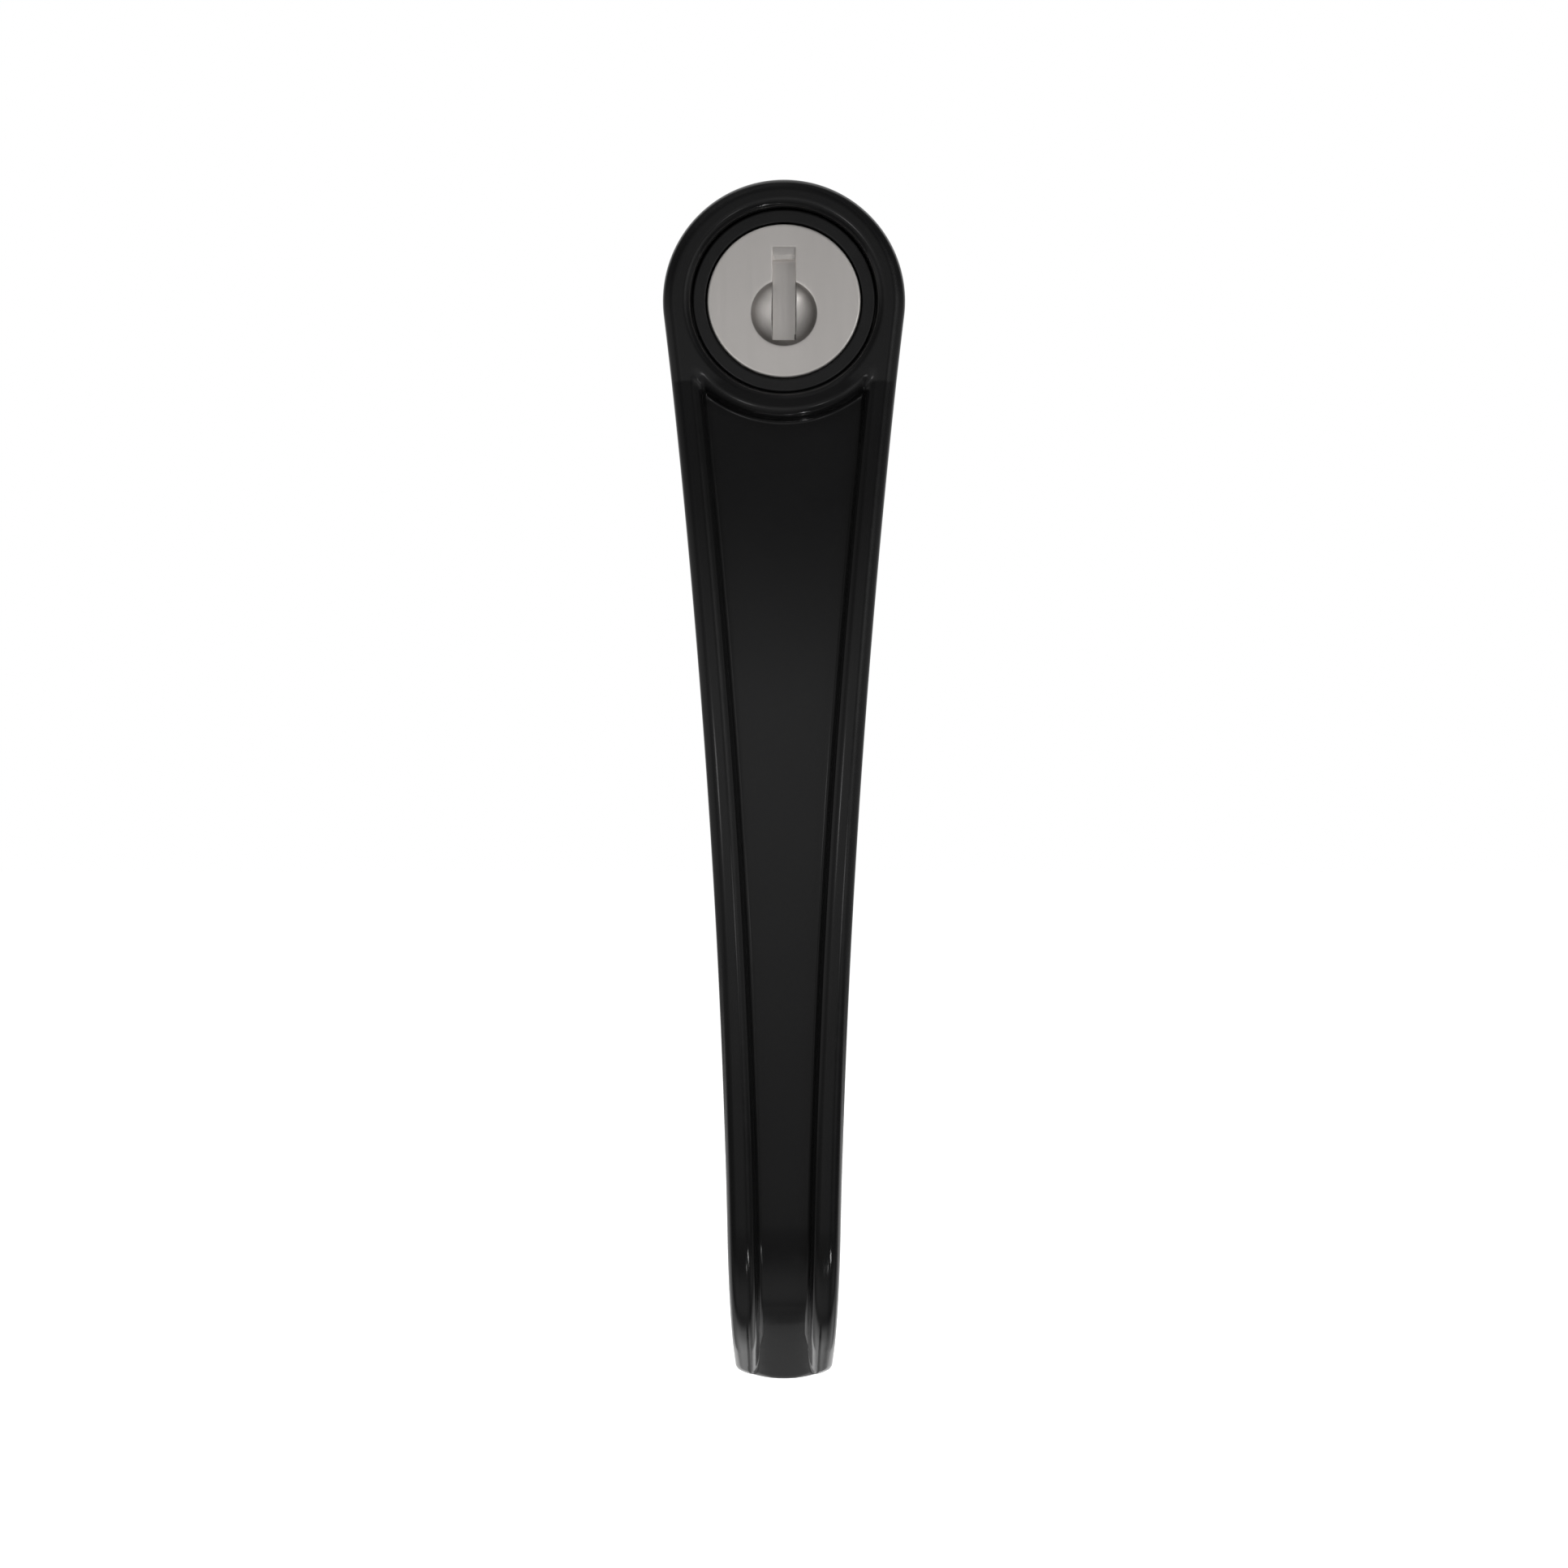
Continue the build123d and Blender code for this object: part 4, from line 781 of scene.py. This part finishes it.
def base_section():
    """The base's section: bore, collar, flange, then the barrel in close rows for its thread."""
    inner, outer = COLLAR
    corners = [(BORE, FLANGE_TOP), (inner, FLANGE_TOP), (inner, COLLAR_TOP), (outer, COLLAR_TOP),
               (outer, FLANGE_TOP), (FLANGE_RADIUS, FLANGE_TOP), (FLANGE_RADIUS, GASKET_TOP), (BORE, GASKET_TOP)]
    upper = softened(corners, [0.2, 0.3, 0.15, 0.15, 0.25, 0.4, 0.15, 0])[:-1]
    heights = np.arange(GASKET_TOP, BASE_LOW, -THREAD_PITCH / 14)
    barrel = np.stack([np.full(len(heights), BARREL_RADIUS), heights], 1)
    end = BARREL_RADIUS - BARREL_CHAMFER
    foot = [(end, 0), (end - 0.1, 0), (BORE + 0.4, 0), (BORE + 0.3, 0), (BORE + 0.1, 0.08), (BORE, 0.3), (BORE, 0.4)]
    return join([upper, barrel, np.array(foot) + [0, BASE_LOW]])


flat_turn = acos(BARREL_FLAT / BARREL_RADIUS)
base_angles = around(168, [flat_turn, pi - flat_turn, pi + flat_turn, 2 * pi - flat_turn])
base = build("base_casting", turned(base_section(), base_angles, barrel_skin), "base", "black_enamel",
             ["base_housing"], sharp=BASE_SHARP)
notches = [block(rectangle(*at_turn(sum(COLLAR) / 2, turn), NOTCH_DEEP, NOTCH_WIDE, turn), NOTCH_FLOOR, COLLAR_TOP + 1)
           for turn in (90, 0)]
pin_turns = np.stack(polar(1, np.radians(np.linspace(135, 225, 40))), 1)
pin_path = join([(PIN_ORBIT + PIN_ROOM) * pin_turns, (PIN_ORBIT - PIN_ROOM) * pin_turns[::-1]])
pin_ends = [disc(*at_turn(PIN_ORBIT, turn), PIN_ROOM) for turn in (135, 225)]
grooves = [block(outline, FLANGE_TOP - PIN_GROOVE, FLANGE_TOP + 0.2) for outline in (pin_path, *pin_ends)]
cut(base, notches + grooves, BASE_SHARP)

build("gasket_ring", plate(circle_sides(SASH_HOLE), circle_sides(GASKET_RADIUS), GASKET_LOW, GASKET_TOP,
                           around(160), 0.3), "base", "rubber", ["sash_gasket"])

barrel_hole = join([circle_sides(SASH_HOLE), flat_sides([0, 180], WASHER_FLAT)])
build("tabbed_washer", plate(barrel_hole, circle_sides(half_width("tab_washer")), *levels("tab_washer"),
                             around(176, [flat_turn, pi - flat_turn]), 0.14),
      "base", "plated_steel", ["tab_washer"])

nut_levels = levels("mounting_nut")
NUT_FLATS = low_high("mounting_nut")[1, 2]
HEXAGON = np.arange(6) * 60 + 30
build("hexagon_nut", plate(circle_sides(NUT_HOLE), flat_sides(HEXAGON, NUT_FLATS), *nut_levels, around(240), 0.12,
                           turned_down(NUT_FLATS - 0.2, 0.458, *nut_levels)),
      "base", "plated_steel", ["mounting_nut"], sharp=25)

# ---- the spindle's spring washer, cam and cam screw
wave_low, wave_high = levels("wave_washer")
WAVE_SHEET, WAVE_HOLE = 0.3, 4.6


def wave(r, h, angles):
    """Three waves round the washer: the thin sheet rises and falls by half of what the CAD height leaves."""
    return h + (wave_high - wave_low - WAVE_SHEET) / 2 * np.cos(3 * angles)


wave_middle = (wave_low + wave_high) / 2
build("waved_washer", plate(circle_sides(WAVE_HOLE), circle_sides(half_width("wave_washer")),
                            wave_middle - WAVE_SHEET / 2, wave_middle + WAVE_SHEET / 2, around(144), 0.08, wave),
      "base", "spring_steel", ["wave_washer"])

CAM_HALF, CAM_TIP = half_width("cam"), low_high("cam")[0, 2]
CAM_TIP_ROUND = 5.0
SQUARE_HALF = 3.197
tip_centre = CAM_TIP + CAM_TIP_ROUND
tip_lean = acos(CAM_TIP_ROUND / CAM_HALF)
top_sides, tip_sides = circle_sides(CAM_HALF), circle_sides(CAM_TIP_ROUND, tip_centre)
cam_sides = join([top_sides[top_sides[:, 1] >= 0], tip_sides[tip_sides[:, 1] <= -sin(tip_lean)]])
corner_turn = atan2(tip_centre, CAM_HALF)
cam_corners = join([np.radians(np.arange(-112, -68, 0.5)), [corner_turn, pi - corner_turn],
                    np.radians([45, 135, 225, 315])]) % (2 * pi)
build("cam_plate", plate(flat_sides([0, 90, 180, 270], SQUARE_HALF), cam_sides, *levels("cam"),
                         around(120, cam_corners), 0.35), "handle", "plated_steel", ["cam"])
build("cam_flat_washer", plate(circle_sides(WASHER_HOLE), circle_sides(half_width("cam_washer")),
                               *levels("cam_washer"), around(120), 0.12), "handle", "plated_steel", ["cam_washer"])
screw_low, screw_end = levels("cam_screw")
screw_seat = levels("cam_washer")[0]
SCREW_FLATS, SCREW_SHANK = 4.0, 2.45
build("cam_hexagon_screw", screw_head(flat_sides(HEXAGON, SCREW_FLATS), screw_low, screw_seat, around(144),
                                      SCREW_SHANK, screw_end, 0.12, turned_down(3.9, 0.5, screw_low, np.inf)),
      "handle", "plated_steel", ["cam_screw"], sharp=25)

# ---- the lock's shell and steel face
shell_low, shell_high = levels("lock_shell")
cap_low, cap_high = levels("face_cap")
CAP_RADIUS = half_width("face_cap")
CAP_ROOM, CAP_REST = CAP_RADIUS + 0.2, cap_low - 0.05
SHELL_BORE, SHELL_RADIUS, SHELL_FLANGE = 6.25, 8.2, shell_high - 2.6
WAFER_ORBIT, WAFER_ROOM, WAFER_GROOVE = 6.253, (0.947, 2.99), (15.05, 21.35)
SET_SCREW_Z, SET_SCREW_H = (7.6, 9.5), 19.0
shell_corners = [(SHELL_BORE, shell_low), (SHELL_RADIUS, shell_low), (SHELL_RADIUS, SHELL_FLANGE),
                 (RING_RADIUS, SHELL_FLANGE), (RING_RADIUS, shell_high), (CAP_ROOM, shell_high),
                 (CAP_ROOM, CAP_REST), (SHELL_BORE, CAP_REST)]
shell = build("lock_sleeve", turned(softened(shell_corners, [0.1, 0.2, 0.1, 0.15, 0.22, 0.12, 0.1, 0.1]), around(240)),
              "handle", "black_ring", ["lock_shell"])
wafer_rooms = [rectangle(*at_turn(WAFER_ORBIT, 90), *WAFER_ROOM[::-1]),
               rectangle(*at_turn(WAFER_ORBIT, 0), *WAFER_ROOM)]
cut(shell, [block(outline, *WAFER_GROOVE) for outline in wafer_rooms]
    + [block(disc(0, SET_SCREW_H, 1.55), *SET_SCREW_Z, along="z")])

SLOT_HALF, SLOT_LOW, SLOT_TOP, RAMP_FOOT, RAMP_DEPTH = 1.19, -4.01, 5.52, 4.43, 0.9
SLOT_TURN = radians(-72), radians(77)  # of the rim's points that the slot's corners go to
DISH_Z, DISH_RADIUS, DISH_DEPTH, DISH_SOFT = -1.25, 3.43, 0.55, 0.035


def cap_height(x, z):
    """Height of the steel face: flat, with a shallow round dish, and rounded at its rim and along the slot."""
    ball = (DISH_RADIUS**2 + DISH_DEPTH**2) / (2 * DISH_DEPTH)
    dish = leg(ball, np.hypot(x, z - DISH_Z)) - (ball - DISH_DEPTH)
    # a soft edge, which has died away 3 mm outside the dish
    dish = (dish + np.sqrt(dish**2 + DISH_SOFT**2)) / 2 - (np.sqrt(DISH_SOFT**2 + 9) - 3) / 2
    slot = np.hypot(np.maximum(np.abs(x) - SLOT_HALF, 0), np.maximum(np.maximum(SLOT_LOW - z, z - SLOT_TOP), 0))
    return cap_high - np.maximum(dish, 0) - quarter_drop(slot, 0.1) - quarter_drop(CAP_RADIUS - np.hypot(x, z), 0.2)


def cap_patches():
    """The steel face as a ring from the slot's outline to its rim, then the rim's wall, the back and the slot's wall.

    Each column joins a point of the slot's outline to one of the rim.
    """
    along, over = 90, 26
    side = np.linspace(SLOT_LOW, SLOT_TOP, along)
    across = np.linspace(-SLOT_HALF, SLOT_HALF, over)[1:-1]
    slot_x = join([np.full(along, SLOT_HALF), across[::-1], np.full(along, -SLOT_HALF), across])
    slot_z = join([side, np.full(over - 2, SLOT_TOP), side[::-1], np.full(over - 2, SLOT_LOW)])
    low_turn, top_turn = SLOT_TURN
    turn = join([np.linspace(low_turn, top_turn, along),
                 np.linspace(top_turn, pi - top_turn, over)[1:-1],
                 np.linspace(pi - top_turn, pi - low_turn, along),
                 np.linspace(pi - low_turn, 2 * pi + low_turn, over)[1:-1]])
    rim_x, rim_z = polar(CAP_RADIUS, turn)
    run_x, run_z = rim_x - slot_x, rim_z - slot_z
    run = np.hypot(run_x, run_z)
    near = np.array([0, 0.006, 0.02, 0.045, 0.08, 0.12, 0.18])[:, None] / run
    far = 1 - np.array([0.3, 0.22, 0.17, 0.12, 0.07, 0.03, 0.01, 0])[:, None] / run
    share = join([near, near[-1:] + (far[:1] - near[-1:]) * np.linspace(0, 1, 76)[1:-1, None], far])
    x, z = slot_x + run_x * share, slot_z + run_z * share
    h = cap_height(x, z)
    rows = [(x, z, h)]
    for depth in (0.3, 1.0):
        rows.append((x[-1:], z[-1:], h[-1:] + (cap_low - h[-1:]) * depth))
    share = np.array([0.66, 0.33, 0.0])[:, None]
    x_back, z_back = slot_x + run_x * share, slot_z + run_z * share
    z_back = np.where(share > 0, z_back, np.minimum(z_back, RAMP_FOOT))
    rows.append((x_back, z_back, np.full(x_back.shape, cap_low)))
    for depth in (1.2, RAMP_DEPTH, 0.6, 0.3):
        limit = RAMP_FOOT + (SLOT_TOP - RAMP_FOOT) * max(RAMP_DEPTH - depth, 0) / RAMP_DEPTH
        rows.append((slot_x[None], np.minimum(slot_z, limit)[None], np.full((1, len(slot_x)), cap_high - depth)))
    rows.append((x[:1], z[:1], h[:1]))
    return [patch(*[join(column) for column in zip(*rows)], wrap=True)]


def steel_with_painted_dish_shade():
    """The satin steel with a band of painted shade inside the dish's edge: the colour is darkened there in place of
    the dark surroundings that the dish's slopes would mirror.
    """
    made = FINISHES["satin_steel"].copy()
    made.name = "steel_with_painted_dish_shade"
    tree = made.node_tree
    base_colour = tree.nodes["Principled BSDF"].inputs["Base Color"]
    place = node(tree, "TexCoord").outputs["Object"]
    off = node(tree, "VectorMath", {0: place, 1: (0, 0, DISH_Z * MM)}, operation="SUBTRACT").outputs["Vector"]
    flat = node(tree, "VectorMath", {0: off, 1: (1, 0, 1)}, operation="MULTIPLY").outputs["Vector"]
    away = node(tree, "VectorMath", {0: flat}, operation="LENGTH").outputs["Value"]
    edge = DISH_RADIUS * MM
    # painted shade: it grows from 0.42 to 0.90 of the dish's radius and stops at the dish's edge
    painted_shade_band = ranged(tree, away, 0, 1, 0.42 * edge, 0.90 * edge)
    within = ranged(tree, away, 1, 0, 0.985 * edge, 1.01 * edge)
    share = node(tree, "Math", {0: painted_shade_band, 1: within}, operation="MULTIPLY").outputs[0]
    # painted shade: the steel's colour is mixed towards this dark grey inside the dish's edge
    shares = {"A": base_colour.links[0].from_socket, "B": (0.19, 0.175, 0.163, 1), "Factor": share}
    tree.links.new(node(tree, "Mix", shares, data_type="RGBA").outputs["Result"], base_colour)
    return made


# the steel face, with painted shade inside its dish
build("steel_face", cap_patches(), "lock_plug", "satin_steel", ["face_cap"], steel_with_painted_dish_shade())

# ---- the cast lever
# cut out: the bolt's channel, the spindle screw's head and shank, the spindle's square, the stop pin's hole and
# the set screw's
lever = build("cast_lever", lever_patches(), "handle", "black_enamel", ["lever"])
UNDER = 4.7  # just below the hub's end
cut(lever, [block(rectangle(0, 7.1, 1.55, 3.7), 10.25, 12.5), block(disc(0, 0, 2.8), 9.4, 12.6),
            block(disc(0, 0, 1.65), UNDER, 9.5), block(rectangle(0, 0, SQUARE_HALF, SQUARE_HALF), UNDER, 8.0),
            block(disc(*at_turn(PIN_ORBIT, 225), 1.27), UNDER, 8.9),
            block(disc(0, SET_SCREW_H, 1.5), 8.2, 13.5, along="z")])


# ---- floor, lamps and camera
def white_to_view(name, colour, lift):
    """A pale matt surface; the camera, mirrors and glass see it lifted towards white, shadows kept."""
    made, tree, shader, _ = material(name, colour, 0.9)
    tree.nodes.remove(shader)
    rays = node(tree, "LightPath").outputs
    seen = rays["Is Camera Ray"]
    for kind in ("Is Glossy Ray", "Is Transmission Ray"):
        seen = node(tree, "Math", {0: seen, 1: rays[kind]}, operation="MAXIMUM").outputs[0]
    amount = node(tree, "Math", {0: seen, 1: lift}, operation="MULTIPLY").outputs[0]
    glow = node(tree, "Emission", {"Strength": amount}).outputs[0]
    matt = node(tree, "BsdfDiffuse", {"Color": (*colour, 1.0)}).outputs[0]
    both = node(tree, "AddShader", {0: matt, 1: glow})
    tree.links.new(both.outputs[0], tree.nodes["Material Output"].inputs["Surface"])
    return made


def sheet(name, x, y, z, finish):
    """A sheet of the studio, as a grid of points in metres."""
    x, y, z = np.broadcast_arrays(x, y, z)
    mesh = bpy.data.meshes.new(name)
    mesh.from_pydata(np.stack([x, y, z], -1).reshape(-1, 3).tolist(), [], grid_quads(*x.shape).tolist())
    mesh.materials.append(finish)
    made = placed(name, mesh)
    return made


def flag(name, x, y, z, glow):
    """A dim studio cloth that only polished surfaces mirror; glow gives its brightness point by point."""
    cloth = bpy.data.materials.new(name)
    cloth.use_nodes = True
    tree = cloth.node_tree
    tree.nodes.clear()
    value = node(tree, "Attribute", attribute_name="glow").outputs["Fac"]
    node(tree, "OutputMaterial", {"Surface": node(tree, "Emission", {"Strength": value}).outputs[0]})
    made = sheet(name, x, y, z, cloth)
    values = np.broadcast_to(glow, np.broadcast(x, y, z).shape).ravel().astype(np.float32)
    made.data.attributes.new("glow", "FLOAT", "POINT").data.foreach_set("value", values)
    made.visible_camera = made.visible_diffuse = made.visible_transmission = made.visible_shadow = False
    made.visible_volume_scatter = False


FLOOR_Z = -0.150
STUDIO = 3.0
sides = np.array([-STUDIO, STUDIO])
sheet("studio_floor", sides, sides[:, None], FLOOR_Z, white_to_view("pale_floor", (0.86, 0.86, 0.86), 0.58))

MIDDLE = (0.0, -0.02, -0.05)
FLAG_RADIUS = 0.45
AHEAD = 0.40  # the cloth's brightness straight ahead of the lock's face
# brightness of the cloth in front by elevation straight ahead, and by turn to the right at camera height
BY_ELEVATION = ([-20, -14, -10, -6, 0, 6, 9, 13, 17, 20, 24, 27, 45, 90],
                [0.18, 0.27, 0.32, 0.36, 0.40, 0.39, 0.34, 0.28, 0.22, 0.17, 0.12, 0.10, 0.10, 0.25])
BY_TURN = ([-112, -75, -60, -48, -30, -17, -8, 0, 8, 14, 22, 31, 45, 60, 75, 112],
           [0.36, 0.38, 0.34, 0.20, 0.24, 0.42, 0.39, 0.40, 0.30, 0.13, 0.22, 0.38, 0.18, 0.22, 0.28, 0.28])
# the cloth behind: brighter towards the top, with a paler strip on each side
BEHIND_ELEVATION = ([-13, 0, 15, 40, 89], [0.34, 0.40, 0.58, 0.90, 0.90])
BEHIND_TURN = ([112, 140, 165, 185, 215, 248], [0.60, 1.10, 0.75, 0.85, 1.15, 0.55])
# brightness of the cloth on the floor by y, from far in front of the lever to just behind its nose
BY_FLOOR_Y = ([-0.3, -0.235, -0.165, -0.1, -0.08, -0.054, -0.043, -0.034, -0.027, -0.022, -0.014, 0, 0.018, 0.03],
              [0.25, 0.19, 0.13, 0.10, 0.115, 0.28, 0.31, 0.28, 0.15, 0.24, 0.95, 1.25, 0.85, 0.70])
# small cards on the floor: two grey ones below the nose's recess, and bright ones that give the nose its highlights
CARDS = [(0, 0.015, 0.0034, 0.021, 0.35), (0, -0.014, 0.0034, 0.008, 0.14), (0.0100, -0.080, 0.0010, 0.004, 14),
         (0.037, -0.094, 0.0020, 0.010, 30)]


def curved_flag(name, turns, rises, brightness):
    """A cloth on a sphere round the lever; brightness is a function of its turn and rise in degrees."""
    turn, rise = np.meshgrid(np.linspace(*turns), np.linspace(*rises))
    ahead, up = np.radians(turn), np.radians(rise)
    x, y, z = np.sin(ahead) * np.cos(up), -np.cos(ahead) * np.cos(up), np.sin(up)
    flag(name, *[middle + FLAG_RADIUS * way for middle, way in zip(MIDDLE, (x, y, z))], brightness(turn, rise))


def front_glow(turn, rise):
    """The front cloth's brightness, with two round highlights of a strength at a turn and rise."""
    glow = np.interp(rise, *BY_ELEVATION) * np.interp(turn, *BY_TURN) / AHEAD
    for strength, at_side, at_rise in ((3.5, 15, -8), (5.0, -14, -1)):
        glow = glow + strength * np.exp(-((turn - at_side) / 2.5) ** 2 - ((rise - at_rise) / 2.5) ** 2)
    return glow


curved_flag("front_flag", (-112, 112, 160), (-13, 89, 90), front_glow)
curved_flag("back_flag", (112, 248, 100), (-13, 89, 60),
            lambda turn, rise: np.interp(rise, *BEHIND_ELEVATION) * np.interp(turn, *BEHIND_TURN))
low_x, low_y = np.meshgrid(np.linspace(-0.42, 0.42, 169),
                           join([np.linspace(-0.45, -0.10, 90), np.linspace(-0.098, 0.024, 62)]))
low_turn = np.degrees(np.arctan2(low_x, 0.05 - low_y))
flag("low_flag", low_x, low_y, FLOOR_Z + 0.001, np.interp(low_y, *BY_FLOOR_Y) * np.interp(low_turn, *BY_TURN) / AHEAD)
for number, (x, y, half_x, half_y, strength) in enumerate(CARDS):
    card_x, card_y = np.meshgrid([x - half_x, x + half_x], [y - half_y, y + half_y])
    flag(f"floor_card_{number}", card_x, card_y, FLOOR_Z + 0.002, strength)

world = bpy.data.worlds.new("studio")
bpy.context.scene.world = world
world.use_nodes = True
tree = world.node_tree
SKY_LIGHT = 0.55
diffuse = node(tree, "LightPath").outputs["Is Diffuse Ray"]
dim = node(tree, "MapRange", {"To Min": 1.0, "To Max": SKY_LIGHT, "Value": diffuse})
sky = tree.nodes["Background"]
sky.inputs["Color"].default_value = (1, 1, 1, 1)
tree.links.new(dim.outputs["Result"], sky.inputs["Strength"])


def lamp(name, place, aim, size, power):
    """A soft square lamp that points at aim."""
    light = bpy.data.lights.new(name, "AREA")
    light.shape = "RECTANGLE"
    light.size, light.size_y = size, size
    light.energy = power
    made = placed(name, light)
    made.location = place
    made.rotation_euler = (Vector(aim) - Vector(place)).to_track_quat("-Z", "Y").to_euler()
    made.visible_camera = False


lamp("key_lamp", (0.42, -0.55, 0.05), MIDDLE, 0.35, 1.6)
lamp("top_lamp", (-0.25, -0.35, 0.5), MIDDLE, 0.25, 0.8)
lamp("back_lamp", (0.35, 0.5, 0.3), (0, 0.01, -0.02), 0.3, 1.6)

camera = placed("front_camera", bpy.data.cameras.new("front_camera"))
camera.data.sensor_fit = "HORIZONTAL"
camera.data.angle = radians(30.05)
camera.location = (0.0, -0.3271, -0.04983)
camera.rotation_euler = (radians(90), 0, 0)
camera.data.clip_start = 0.01
bpy.context.scene.camera = camera
bpy.context.scene.view_settings.view_transform = "Standard"
